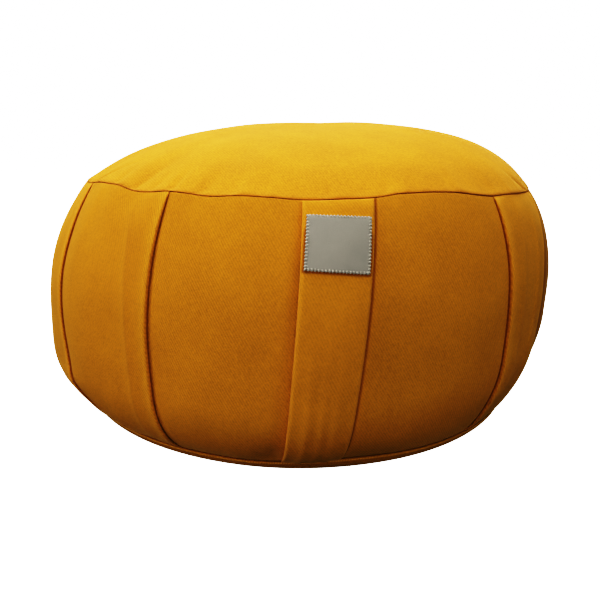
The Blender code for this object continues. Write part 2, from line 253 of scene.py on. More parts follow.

# Along the section with a point between each two, the one at which the next panel's cloth begins. Then the
# height in millimetres at which a folded edge's painted highlight is full, the shares of the fold's height
# and of its painted shade that are left at a seam, and how deep the painted shade past a pleat is. The last
# three are the share of the handle's height by which its painted shade moves out, and how far beside the
# handle the wall stays even
CREASE = 35
LIP_OUT = 0.95
FOLD_AT_SEAM = 0.55
FOLD_LOW_SHARE = 0.3
CREASE_LOW_SHARE = 0.4
PAST_SHADE = 1.1
STRAP_SHADE_SHARE = 0.30
STRAP_CALM = 0.002
STRAP_CALM_FADE = 0.0008

# The cloth turned under each pleat ends in a soft ridge: its distance behind the folded edge at the top
# seam, the middle and the bottom seam, the height of the layers, and the ridge's softness. The panel gets a
# painted highlight just behind the ridge and painted shade over the layers, over these reaches
UNDER_TOP = 0.0225
UNDER_MIDDLE = 0.0139
UNDER_BOTTOM = 0.0145
UNDER_HEIGHT = 0.0008
UNDER_SOFTNESS = 0.0009
RIDGE_HIGHLIGHT = 0.45
RIDGE_HIGHLIGHT_REACH = 0.0035
RIDGE_SHADE = 0.17
RIDGE_SHADE_REACH = 0.0050
RIDGE_SOFTNESS = 0.0003

# Seams: the cloth turns in softly over a few millimetres, and sharply at the stitches. Their shade's reach
# and depth, the shade of what lies hidden, how soon the cloth may move beside them, and their gathers
SOFT_TUCK = 0.0004
WALL_SOFT_REACH = 0.0025
COVER_SOFT_REACH = 0.0010
SHARP_TUCK = 0.0002
SHARP_REACH = 0.0002
WALL_SEAM_SHADE = 0.00020
WALL_SEAM_DEPTH = 0.3
COVER_SEAM_SHADE = 0.0017
COVER_SEAM_DEPTH = 0.70
HIDDEN_SHADE = 0.4
SEAM_CALM = 0.0020
PUCKER_DEPTH = 0.00020
PUCKER_REACH = 0.011
SEAM_WOBBLE = 0.00015

# The net of cloth that the stuffing's pressure is tried on: its size, how much larger it is cut than the
# form, how hard it is pressed and for how long, the most that it may move the finished cloth, how often
# it is smoothed to find the broad swelling, how much of the rest is kept, the steps in a frame, and how
# firmly and how far the pleats hold it. The last three are the metres between its rows, from the top seam
# and from the bottom seam, and how soon its folds begin past a seam
NET_COLUMNS = 240
NET_WALL_ROWS = 36
NET_CROWN_ROWS = 34
NET_EXTRA = 0.020
NET_PRESSURE = 4.0
NET_FRAMES = 20
NET_CAP = 0.005
NET_BROAD = 44
NET_SHARE = 1.2
NET_QUALITY = 6
NET_PLEAT_HOLD = 0.75
NET_PLEAT_REACH = 0.004
NET_ROW_FROM_SEAM = 0.0042
NET_ROW_FROM_BASE = 0.0038
NET_SEAM_REACH = 0.003

# The whip stitches round the label: their pitch, how far in and out of its edge they reach, the thread's
# radius, how many of those they rise, how they slant and how unevenly, how large each is, and how far their
# line lies inside the edge and below the label's face
STITCH_PITCH = 0.0016
STITCH_IN = 0.0009
STITCH_OUT = 0.0003
THREAD = 0.00024
STITCH_RISE = 2.6
STITCH_SLANT = 0.25
STITCH_WANDER = 0.16
STITCH_SMALLEST = (0.88, 1.45, 0.9)
STITCH_LARGEST = (1.12, 1.85, 1.1)
STITCH_SEED = 7
STITCH_LINE = 0.0002
STITCH_SUNK = 0.00005

# Mesh steps
WALL_ROWS = 106
CROWN_ROWS = 56
HIDDEN_ROWS = 6
HIDDEN_CROWN_ROWS = 10
UNDERSIDE_ROWS = 18
COVER_COLUMNS = 640
ROLL_STEPS = 14
PLAIN_PITCH = 0.0024
BAND_COLUMNS = 30
EDGE_STEPS = 5
HANDLE_ROWS = 120
LABEL_ROWS = 40

# The camera that the photograph's outline, seams, pleats and handle give, angles in radians
CAMERA_AT = (0.0000, -0.4165, 0.1649)
CAMERA_YAW = 0.0021
CAMERA_PITCH = 0.2585
CAMERA_ROLL = 0.0150
FOCAL_PIXELS = 577.1
FRAME_PIXELS = 600.0
SENSOR = 36.0

# The photograph's tone, and the glow that keeps the floor near white
HALF_LIGHT = 0.44
TONE_STEEPNESS = 2.1
TONE_REACH = 3.0
TONE_STOPS = (0.02, 0.04, 0.07, 0.10, 0.14, 0.18, 0.23, 0.30, 0.40, 0.55, 0.75, 1.0)
FLOOR_GLOW = 3.0

# Studio lights, and the soft light from all round above
Light = namedtuple("Light", "name at size watts colour", defaults=((1.0, 1.0, 1.0),))
LIGHTS = (
    Light(name="big_overhead", at=(0.0, -0.2, 1.8), size=2.2, watts=17.8),
    Light(name="back_overhead", at=(-0.1, 0.8, 1.1), size=0.9, watts=14.9),
    Light(name="left_overhead", at=(-0.5, 0.0, 1.3), size=1.0, watts=6.8),
    Light(name="left_low", at=(-1.4, -0.5, 0.35), size=0.6, watts=5.9),
    Light(name="front_low", at=(0.1, -1.5, 0.15), size=0.7, watts=3.9),
    Light(name="front", at=(-0.2, -1.6, 0.6), size=0.8, watts=2.0),
    Light(name="right_front", at=(1.1, -1.0, 0.9), size=0.7, watts=3.1, colour=(1.0, 1.12, 1.0)),
    Light(name="right_back", at=(0.7, 1.5, 0.35), size=0.9, watts=7.0),
)
LIGHTS_AIM = (0.0, 0.0, 0.08)
AMBIENT = 0.01
AMBIENT_FROM = -0.15
AMBIENT_TO = 0.6
BACKDROP = 3.0
FLOOR_HALF = 12.0
FLOOR_GREY = 0.92

# The cloth's dye, how much darker the underside's cloth is painted as shade, the label's grey and its
# thread, linear
DYE = (0.78, 0.345, 0.036)
BASE_PAINTED_SHADE = (0.60, 0.55, 0.50)
LABEL_GREY = (0.43, 0.40, 0.345)
THREAD_PALE = (0.66, 0.62, 0.53)

# Unevenness: how many waves are laid over each other and how far they are scaled to lie between -1 and 1,
# the waves in a turn of the gathers and of the seams' wobble, and the lumps' depth, size and seed
WAVES = 14
WAVE_SCALE = 0.6
GATHERS_FINE = (60, 130)
GATHERS_BROAD = (22, 60)
GATHERS_BROAD_REACH = 2.6
GATHERS_FINE_SHARE = 0.6
WOBBLE = (12, 40)
WOBBLE_SEED = 3
WALL_TOP_SEED = 21
WALL_LOW_SEED = 31
COVER_SEED = 51
Lumps = namedtuple("Lumps", "depth size seed")
WALL_LUMPS = (Lumps(depth=0.0006, size=0.09, seed=11), Lumps(depth=0.00015, size=0.025, seed=12))
COVER_LUMPS = (Lumps(depth=0.0008, size=0.12, seed=41), Lumps(depth=0.00015, size=0.035, seed=42))
COVER_LUMPS_REACH = 0.03

# The twill's pitch and slope, the tick stitches along the bottom seam, and the grain of its drift, wash,
# slubs and fibres in waves for each metre
TWILL_PITCH = 0.00125
FLOAT_SHARE = 0.9
TWILL_ACROSS = math.cos(math.radians(30))
TWILL_UP = math.sin(math.radians(30))
TICK_PITCH = 0.00085
TICK_LOW = 0.0004
TICK_HIGH = 0.0022
TICK_PALE = (2.2, 3.0, 4.5)
DRIFT_GRAIN = 90.0
WASH_GRAIN = 46.0
SLUB_GRAIN = 900.0
FIBRE_GRAIN = 2600.0
# The colour that painted shade in creases, along seams, past pleats and beside pieces on top goes towards,
# and how far
CREASE_SHADE_COLOUR = (0.30, 0.16, 0.08)
CREASE_DEPTH = 0.75
SHEEN_TINT = (1.0, 0.72, 0.25)
SHEEN_ROUGHNESS = 0.5
CLOTH_GLOSS = 0.08
SATIN_PITCH = 0.00042
FINE_RELIEF = 0.0001


# The stuffed form


def column(rows, name):
    return np.array([getattr(row, name) for row in rows], float)


def side_value(azimuth, name):
    """A column of the sides' table, blended from the two sides nearest each azimuth."""
    turns = np.cos(np.radians(np.asarray(azimuth)[..., None] - column(SIDES, "azimuth")))
    return (np.maximum(turns, 0.0) ** 2 * column(SIDES, name)).sum(-1)


def wall_share(z):
    """0 at the bottom seam and 1 at the top seam."""
    return (z - BOTTOM_SEAM_Z) / (TOP_SEAM_Z - BOTTOM_SEAM_Z)


def swell(z):
    """1 along the wall's middle and 0 at both seams, where the stuffing can't push the cloth out."""
    return 1.0 - (2.0 * np.clip(wall_share(z), 0.0, 1.0) - 1.0) ** 4


def axis_x(z):
    """The cushion leans to its right with height, sags a little to its left, and its apex lies to the
    right again."""
    rise = z / TOP_SEAM_Z
    crown_share = np.maximum(z - TOP_SEAM_Z, 0.0) / CROWN_RISE
    return LEAN_X * rise - SAG_X * np.sin(np.pi * np.clip(rise, 0.0, 1.0)) + APEX_SHIFT_X * crown_share


def seam_tuck(distance, soft_reach):
    """How far the cloth turns in, this far from a seam: softly, and sharply at the stitches."""
    away = np.maximum(distance, 0.0)
    return SOFT_TUCK * np.exp(-away / soft_reach) + SHARP_TUCK * np.exp(-away / SHARP_REACH)


def off_seam(distance):
    """0 at a seam, whose stitches hold the cloth even, and 1 a few millimetres away from it."""
    return 1.0 - np.exp(-((np.maximum(distance, 0.0) / SEAM_CALM) ** 2))


def crest_radius(azimuth, z):
    """The wall's radius along the fullest line of its panels."""
    belly_r, belly_z = side_value(azimuth, "belly_r"), side_value(azimuth, "belly_z")
    rise = np.clip((z - belly_z) / (TOP_SEAM_Z - belly_z), 0.0, 1.0)
    fall = np.clip((belly_z - z) / (belly_z - BOTTOM_SEAM_Z), 0.0, 1.0)
    drawn_in = (belly_r - TOP_SEAM_R) * rise ** side_value(azimuth, "upper")
    drawn_in = drawn_in + (belly_r - BOTTOM_SEAM_R) * fall ** side_value(azimuth, "lower")
    return belly_r - drawn_in - seam_tuck(np.minimum(TOP_SEAM_Z - z, z - BOTTOM_SEAM_Z), WALL_SOFT_REACH)


def line_azimuth(line, z):
    """A smooth curve through the line's three azimuths."""
    t = wall_share(z)
    middle = 2.0 * line.belly - 0.5 * (line.top + line.bottom)
    return line.bottom * (1 - t) ** 2 + 2.0 * middle * t * (1 - t) + line.top * t**2


def turn_between(azimuth, other):
    """Degrees from the other azimuth to this one, the short way round."""
    return (azimuth - other + 180.0) % 360.0 - 180.0


def panel_bulge(azimuth, z):
    """How far the wall falls short of its fullest line at this azimuth, between two pleats."""
    turns = np.stack([(azimuth - line_azimuth(pleat, z)) % 360.0 for pleat in PLEATS])
    behind, ahead = turns.min(0), 360.0 - turns.max(0)
    across = (behind - ahead) / (behind + ahead)
    return PANEL_BULGE * swell(z) * across**2


def ring_waves(azimuth, low, high, seed):
    """Even waviness round the cushion, mostly from -1 to 1, with low to high waves in a turn."""
    rng = np.random.default_rng(seed)
    counts = rng.integers(low, high + 1, WAVES)
    phases = rng.uniform(0.0, 2.0 * np.pi, WAVES)
    angle = np.radians(np.asarray(azimuth, float))
    total = sum(np.cos(count * angle + phase) for count, phase in zip(counts, phases))
    return total * math.sqrt(2.0 / WAVES) * WAVE_SCALE


def space_waves(points, size, seed):
    """Soft lumps of about this size, mostly from -1 to 1, at points in space."""
    rng = np.random.default_rng(seed)
    ways = rng.normal(size=(WAVES, 3))
    ways *= (2.0 * np.pi / size * rng.uniform(0.5, 1.2, WAVES) / np.linalg.norm(ways, axis=1))[:, None]
    phases = rng.uniform(0.0, 2.0 * np.pi, WAVES)
    total = sum(np.cos(points @ way + phase) for way, phase in zip(ways, phases))
    return total * math.sqrt(2.0 / WAVES) * WAVE_SCALE


def lumpiness(spots, lumps):
    """The table's lumps laid over each other, at points in space."""
    return sum(row.depth * space_waves(spots, row.size, row.seed) for row in lumps)


def seam_lift(azimuth, z):
    """How far the uneven seams carry the cloth up or down."""
    top = lifts_at(azimuth, SEAM_LIFTS, SEAM_WOBBLE * ring_waves(azimuth, *WOBBLE, WOBBLE_SEED))
    top = top * np.exp(-(((z - TOP_SEAM_Z) / LIFT_REACH_Z) ** 2))
    base = lifts_at(azimuth, BASE_LIFTS, 0.0) * np.clip(z / BOTTOM_SEAM_Z, 0.0, 1.0)
    return top + base * np.exp(-((np.maximum(z - BOTTOM_SEAM_Z, 0.0) / BASE_REACH_Z) ** 2))


def lifts_at(azimuth, lifts, total):
    """A table's rises and dips at these azimuths, added to a total."""
    for row in lifts:
        total = total + row.rise * np.exp(-((turn_between(azimuth, row.azimuth) / row.reach) ** 2))
    return total


def cushion_middle():
    """The cushion's axis at the floor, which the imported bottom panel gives."""
    low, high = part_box("bottom_panel")
    return 0.5 * (low.x + high.x), 0.5 * (low.y + high.y)


MIDDLE_X, MIDDLE_Y = cushion_middle()


def polar(azimuth, radius, z):
    """Points in space from azimuths, radii and heights."""
    angle = np.radians(azimuth)
    x = MIDDLE_X + axis_x(z) + radius * np.sin(angle)
    y = MIDDLE_Y - radius * np.cos(angle)
    return np.stack([x, y, z + seam_lift(azimuth, z)], -1)


def pushed_out(radius, z, out):
    """Radii and heights moved square to their profile, whose rows run out along the underside, up the wall
    or over the crown."""
    along_r, along_z = np.gradient(radius, axis=0), np.gradient(z, axis=0)
    length = np.hypot(along_r, along_z) + 1e-12
    return radius + out * along_z / length, z - out * along_r / length


def wall_profile(azimuth, z):
    return crest_radius(azimuth, z) - panel_bulge(azimuth, z)


def wall_point(azimuth, z, out):
    """Points at a distance out from the smooth wall, along its normal."""
    low, high = np.maximum(z - NORMAL_STEP, BOTTOM_SEAM_Z), np.minimum(z + NORMAL_STEP, TOP_SEAM_Z)
    slope = (crest_radius(azimuth, high) - crest_radius(azimuth, low)) / (high - low)
    length = np.hypot(1.0, slope)
    height = np.clip(z - out * slope / length, BOTTOM_SEAM_Z + SHELF_GAP, TOP_SEAM_Z - SHELF_GAP)
    return polar(azimuth, wall_profile(azimuth, z) + out / length, height)


# Meshes


def loft(name, rings, uv, pole_low, pole_high):
    """A closed mesh through rings of points, low to high, with a fan over each end. Its UV map is in
    metres of cloth."""
    rows, count = rings.shape[:2]
    ids = np.arange(rows * count).reshape(rows, count)
    after = np.roll(ids, -1, axis=1)
    quads = np.stack([ids[:-1], after[:-1], after[1:], ids[1:]], -1).reshape(-1, 4)
    low, high = rows * count, rows * count + 1
    fans = [(low, m, n) for n, m in zip(ids[0].tolist(), after[0].tolist())]
    fans += [(high, n, m) for n, m in zip(ids[-1].tolist(), after[-1].tolist())]
    points = np.concatenate([rings.reshape(-1, 3), [pole_low, pole_high]])
    mesh = bpy.data.meshes.new(name)
    mesh.from_pydata(points.tolist(), [], quads.tolist() + fans)
    flat = np.concatenate([uv.reshape(-1, 2), [uv[0].mean(0), uv[-1].mean(0)]])
    corners = np.zeros(len(mesh.loops), np.int32)
    mesh.loops.foreach_get("vertex_index", corners)
    layer = mesh.uv_layers.new(name="cloth")
    layer.uv.foreach_set("vector", flat[corners].astype(np.float32).ravel())
    mesh.shade_smooth()
    return mesh


def add_attribute(mesh, name, values):
    """A number at every vertex, with 0 at the two poles."""
    made = mesh.attributes.new(name, "FLOAT", "POINT")
    made.data.foreach_set("value", np.append(values.ravel(), [0.0, 0.0]).astype(np.float32))


def read_vectors(source, name):
    """A vector of every vertex, as an array."""
    found = np.zeros(3 * len(source))
    source.foreach_get(name, found)
    return found.reshape(-1, 3)


def add_piece(name, mesh, finish, body="root"):
    piece = bpy.data.objects.new(name, mesh)
    bpy.context.scene.collection.objects.link(piece)
    mesh.materials.append(finish)
    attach(piece, body)
    return piece


def beside(distance):
    """The shade attribute next to the edge of a piece that lies on top: 1 at the edge, 2 at its reach, and
    0 well under the piece."""
    return np.clip(1.0 + distance / BESIDE_REACH, 0.0, 2.0)


def arc_length(points, axis):
    """Distance travelled along a grid of points, from its first row or column."""
    steps = np.linalg.norm(np.diff(points, axis=axis), axis=-1)
    start = np.zeros_like(np.take(steps, [0], axis))
    return np.concatenate([start, np.cumsum(steps, axis)], axis)


def smooth_through(values):
    """The values with a point of a smooth curve between each two."""
    padded = np.concatenate([2 * values[:1] - values[1:2], values, 2 * values[-1:] - values[-2:-1]])
    between = (9.0 * (padded[1:-2] + padded[2:-1]) - padded[:-3] - padded[3:]) / 16.0
    made = np.empty((2 * len(values) - 1, *values.shape[1:]))
    made[0::2], made[1::2] = values, between
    return made


def fold_section():
    """The section's distances and heights in metres, and its shades."""
    return smooth_through(np.array(FOLD)) * (MM, MM, 1.0)


def plain_count(index):
    """How many columns the plain cloth between this pleat and the next one takes."""
    pleat, following = PLEATS[index], PLEATS[(index + 1) % len(PLEATS)]
    degrees = (following.belly - pleat.belly) % 360.0
    section = (FOLD[-1].along - FOLD[0].along) * MM
    return max(round((math.radians(degrees) * TOP_SEAM_R - section) / PLAIN_PITCH), 0)


def wall_columns(z):
    """Each column's azimuth, height of its fold and shade, right round the wall at the heights z."""
    section = fold_section()
    azimuths, outs, parts = [], [], []
    for pleat in PLEATS:
        degrees = np.degrees(1.0 / crest_radius(pleat.belly, z))
        along = section[:, 0] if pleat.edge > 0 else -section[::-1, 0]
        out = section[:, 1:] if pleat.edge > 0 else section[::-1, 1:]
        middle = line_azimuth(pleat, z)
        parts.append((middle[:, None] + along * degrees[:, None], out))
    for index, (azimuth, out) in enumerate(parts):
        turn = 360.0 if index + 1 == len(parts) else 0.0
        start, end = azimuth[:, -1:], parts[(index + 1) % len(parts)][0][:, :1] + turn
        count = plain_count(index)
        shares = (np.arange(count) + 1) / (count + 1)
        azimuths += [azimuth, start + (end - start) * shares]
        outs += [out, np.zeros((count, 2))]
    return np.concatenate(azimuths, 1), *np.concatenate(outs).T


def past_layers(pleat, azimuth, z):
    """Metres behind a pleat's folded edge, and metres past the ridge in which the layers under it end."""
    t = wall_share(z)
    middle = 2.0 * UNDER_MIDDLE - 0.5 * (UNDER_TOP + UNDER_BOTTOM)
    reach = UNDER_BOTTOM * (1 - t) ** 2 + 2.0 * middle * t * (1 - t) + UNDER_TOP * t**2
    turn = -turn_between(azimuth, line_azimuth(pleat, z)) * pleat.edge
    behind = np.radians(turn) * crest_radius(pleat.belly, z)
    return behind, behind - reach


def turned_under(azimuth, z):
    """The height that the layers turned under each pleat add to the panel over them."""
    height = np.zeros_like(azimuth)
    for pleat in PLEATS:
        behind, past = past_layers(pleat, azimuth, z)
        over = 1.0 / (1.0 + np.exp(past / UNDER_SOFTNESS))
        height += np.where(behind > 0.0, over, 0.0) * UNDER_HEIGHT * pleat.under
    return height


def ridge_painted_light(azimuth, z):
    """The painted highlight on the panels along the ridges of the layers beneath, and the painted shade
    over the layers."""
    painted_highlight, deep = np.zeros_like(azimuth), np.zeros_like(azimuth)
    for pleat in PLEATS:
        behind, past = past_layers(pleat, azimuth, z)
        plain = pleat.ridge * swell(z) * (behind > 0.0)
        outside = 1.0 / (1.0 + np.exp(np.clip(-past / RIDGE_SOFTNESS, -50.0, 50.0)))
        painted_highlight += RIDGE_HIGHLIGHT * plain * outside * np.exp(-np.maximum(past, 0.0) / RIDGE_HIGHLIGHT_REACH)
        deep += RIDGE_SHADE * plain * (1.0 - outside) * np.exp(np.minimum(past, 0.0) / RIDGE_SHADE_REACH)
    return painted_highlight, deep


def under_strap(azimuth, z):
    """1 where the handle lies on the wall, and 0 a little to each side of it."""
    distance = np.abs(across_strap(azimuth, z))
    return 1.0 / (1.0 + np.exp((distance - 0.5 * strap_width(z) - STRAP_CALM) / STRAP_CALM_FADE))


def across_strap(azimuth, z):
    """Metres along the wall from the handle's middle line, positive to its right."""
    turn = turn_between(azimuth, line_azimuth(HANDLE_LINE, z))
    return np.radians(turn) * crest_radius(HANDLE_LINE.belly, z)


def seam_puckers(azimuth, distance, seed):
    """Small gathers that run square to a seam and die out away from it."""
    fine = ring_waves(azimuth, *GATHERS_FINE, seed) * np.exp(-distance / PUCKER_REACH)
    broad_reach = GATHERS_BROAD_REACH * PUCKER_REACH
    broad = ring_waves(azimuth, *GATHERS_BROAD, seed + 1) * np.exp(-distance / broad_reach)
    return PUCKER_DEPTH * (GATHERS_FINE_SHARE * fine + broad) * off_seam(distance)


def pushes(azimuth, z):
    out = 0.0
    for push in PUSHES:
        turned, raised = turn_between(azimuth, push.azimuth) / push.turn, (z - push.z) / push.reach
        out = out + push.out * np.exp(-(turned**2) - raised**2)
    return out


def wall_unevenness(azimuth, z):
    """What the stuffing, the gathers and the layers beneath add to the wall."""
    spots = polar(azimuth, wall_profile(azimuth, z), z)
    calm = off_seam(np.minimum(TOP_SEAM_Z - z, z - BOTTOM_SEAM_Z))
    out = lumpiness(spots, WALL_LUMPS) * swell(z) + turned_under(azimuth, z) * swell(z)
    out = out + pushes(azimuth, z) * calm + read_net(PRESSED.wall, azimuth, wall_share(z)) * calm
    out = out + seam_puckers(azimuth, TOP_SEAM_Z - z, WALL_TOP_SEED)
    out = out + seam_puckers(azimuth, z - BOTTOM_SEAM_Z, WALL_LOW_SEED)
    return out * (1.0 - under_strap(azimuth, z))


def spread_rows(count):
    """Shares from 0 to 1, closer together towards both ends."""
    return 0.5 - 0.5 * np.cos(np.pi * np.arange(count + 1) / count)


def crown_profile(azimuth, count, inset=0.0):
    """Radii and heights of the domed top from its seam to near the apex, or of a dome inside it."""
    power = 2.0 / side_value(azimuth, "crown")[None, :]
    seam_r = TOP_SEAM_R - inset * RIM_SLANT
    angle = 0.5 * np.pi * np.sin(0.5 * np.pi * np.arange(count, 0, -1) / count)[:, None]
    radius = seam_r * np.sin(angle) ** power
    eased = 1.0 - RIM_EASE * np.exp((radius - seam_r) / RIM_REACH)
    rise = (CROWN_RISE - inset) * np.abs(np.cos(angle)) ** power * eased
    height = TOP_SEAM_Z + rise
    if inset:
        height[0] = TOP_SEAM_Z - SHELF_GAP
    return radius - seam_tuck(rise, COVER_SOFT_REACH), height


def base_profile(count, inset=0.0):
    """Radii and heights of the flat underside from near its middle, and of its roll up to the seam."""
    flat = BOTTOM_SEAM_R - BOTTOM_SEAM_Z
    angle = 0.5 * np.pi * np.arange(count + 1) / count
    fall = BOTTOM_SEAM_Z * np.cos(angle)
    roll_r = flat + BOTTOM_SEAM_Z * np.sin(angle) - seam_tuck(fall, COVER_SOFT_REACH)
    radius = np.concatenate([[0.25 * flat, 0.5 * flat, 0.75 * flat, 0.9 * flat], roll_r])[:, None]
    height = np.concatenate([np.zeros(4), BOTTOM_SEAM_Z - fall])[:, None]
    if inset:
        radius, height = pushed_out(radius, height, -inset)
        height[-1] = BOTTOM_SEAM_Z + SHELF_GAP
    return radius, height


Net = namedtuple("Net", "wall crown")


def net_rings():
    """The net's rings: the underside and its roll, the wall, and the crown to near its middle."""
    azimuth = 360.0 * np.arange(NET_COLUMNS) / NET_COLUMNS
    flat = np.zeros(NET_COLUMNS)
    base_r, base_z = base_profile(3)
    base = polar(azimuth + 0.0 * base_r[:-1], base_r[:-1] + flat, base_z[:-1] + flat)
    z = BOTTOM_SEAM_Z + (TOP_SEAM_Z - BOTTOM_SEAM_Z) * np.arange(NET_WALL_ROWS + 1)[:, None] / NET_WALL_ROWS
    around = azimuth + 0.0 * z
    wall = polar(around, wall_profile(around, z + flat), z + flat)
    share = 1.0 - np.arange(1, NET_CROWN_ROWS)[:, None] / NET_CROWN_ROWS
    power = 2.0 / side_value(azimuth, "crown")[None, :]
    fall = np.arcsin(share ** (1.0 / power))
    eased = 1.0 - RIM_EASE * np.exp((share - 1.0) * TOP_SEAM_R / RIM_REACH)
    rise = CROWN_RISE * np.cos(fall) ** power * eased
    crown = polar(azimuth + 0.0 * rise, share * TOP_SEAM_R + flat, TOP_SEAM_Z + rise)
    return azimuth, z, base, wall, crown


def net_hold(azimuth, z, base_rows, crown_rows):
    """How firmly each ring's points are held: wholly at the underside and both seams, softly at pleats."""
    wall = np.zeros((len(z), len(azimuth)))
    for pleat in PLEATS:
        away = np.radians(turn_between(azimuth, line_azimuth(pleat, z))) * TOP_SEAM_R
        wall = np.maximum(wall, NET_PLEAT_HOLD * np.exp(-((away / NET_PLEAT_REACH) ** 2)))
    wall[0], wall[-1] = 1.0, 1.0
    return np.concatenate([np.ones((base_rows, len(azimuth))), wall, np.zeros((crown_rows, len(azimuth)))])


def step_cloth(piece):
    """Runs the cloth on a piece and returns where its points end."""
    scene = bpy.context.scene
    for step in range(1, NET_FRAMES + 1):
        scene.frame_set(step)
    settled = piece.evaluated_get(bpy.context.evaluated_depsgraph_get()).data
    points = read_vectors(settled.vertices, "co")
    scene.frame_set(1)
    return points


def pressed_cloth():
    """How far pressure moves the wall and the crown out, with the broad swelling taken off again, because
    the form already has it. What stays are the folds that cloth makes between its seams."""
    azimuth, z, base, wall, crown = net_rings()
    rings = np.concatenate([base, wall, crown])
    apex = polar(0.0, 0.0, TOP_SEAM_Z + CROWN_RISE)
    mesh = loft("pressed_net", rings, np.zeros((*rings.shape[:2], 2)), polar(0.0, 0.0, 0.0), apex)
    piece = bpy.data.objects.new("pressed_net", mesh)
    bpy.context.scene.collection.objects.link(piece)
    start, ways = read_vectors(mesh.vertices, "co"), read_vectors(mesh.vertices, "normal")
    piece.shape_key_add(name="form")
    cut = piece.shape_key_add(name="cut")
    middle = np.array(polar(0.0, 0.0, 0.5 * TOP_SEAM_Z))
    cut.data.foreach_set("co", (middle + (start - middle) * (1.0 + NET_EXTRA)).ravel())
    hold = np.append(net_hold(azimuth, z, len(base), len(crown)).ravel(), [1.0, 0.0])
    group = piece.vertex_groups.new(name="held")
    for level in np.unique(np.round(hold, 2)):
        group.add(np.nonzero(np.round(hold, 2) == level)[0].tolist(), float(level), "REPLACE")
    cloth = piece.modifiers.new("cloth", "CLOTH")
    cloth.settings.quality = NET_QUALITY
    cloth.settings.vertex_group_mass = "held"
    cloth.settings.use_pressure = True
    cloth.settings.uniform_pressure_force = NET_PRESSURE
    cloth.settings.rest_shape_key = cut
    cloth.settings.effector_weights.gravity = 0.0
    cloth.point_cache.frame_start = 1
    cloth.point_cache.frame_end = NET_FRAMES
    moved = ((step_cloth(piece) - start) * ways).sum(1)
    bpy.data.objects.remove(piece, do_unlink=True)
    moved = np.clip(moved[:-2], -NET_CAP, NET_CAP).reshape(rings.shape[:2])[len(base) :]
    folds = moved - net_smoothed(moved)
    row = np.arange(len(folds))
    off_seams = np.minimum(np.abs(row - NET_WALL_ROWS) * NET_ROW_FROM_SEAM, row * NET_ROW_FROM_BASE)
    folds *= (NET_SHARE * (1.0 - np.exp(-off_seams / NET_SEAM_REACH)))[:, None]
    crown_folds = np.concatenate([folds[NET_WALL_ROWS:], folds[-1:].mean() * np.ones((1, NET_COLUMNS))])
    return Net(folds[: NET_WALL_ROWS + 1], crown_folds)


def net_smoothed(values):
    """The broad part of what a net's points hold."""
    for _ in range(NET_BROAD):
        values = 0.5 * values + 0.25 * (np.roll(values, 1, 1) + np.roll(values, -1, 1))
        padded = np.concatenate([values[:1], values, values[-1:]])
        values = 0.5 * values + 0.25 * (padded[:-2] + padded[2:])
    return values


def spline_weights(share):
    """The weights of the four points round a place between the middle two."""
    square, cube = share**2, share**3
    return (
        square - 0.5 * (share + cube),
        1.0 - 2.5 * square + 1.5 * cube,
        0.5 * share + 2.0 * square - 1.5 * cube,
        0.5 * (cube - square),
    )


def read_net(net, azimuth, share):
    """What the net holds at azimuths and at shares from its first ring to its last."""
    rows, count = net.shape
    across, up = np.mod(azimuth, 360.0) * count / 360.0, np.clip(share, 0.0, 1.0) * (rows - 1)
    column_at, row_at = np.floor(across).astype(int), np.floor(up).astype(int)
    total = 0.0
    for step_up, up_weight in enumerate(spline_weights(up - row_at)):
        row = np.clip(row_at + step_up - 1, 0, rows - 1)
        for step, weight in enumerate(spline_weights(across - column_at)):
            total = total + up_weight * weight * net[row, (column_at + step - 1) % count]
    return total


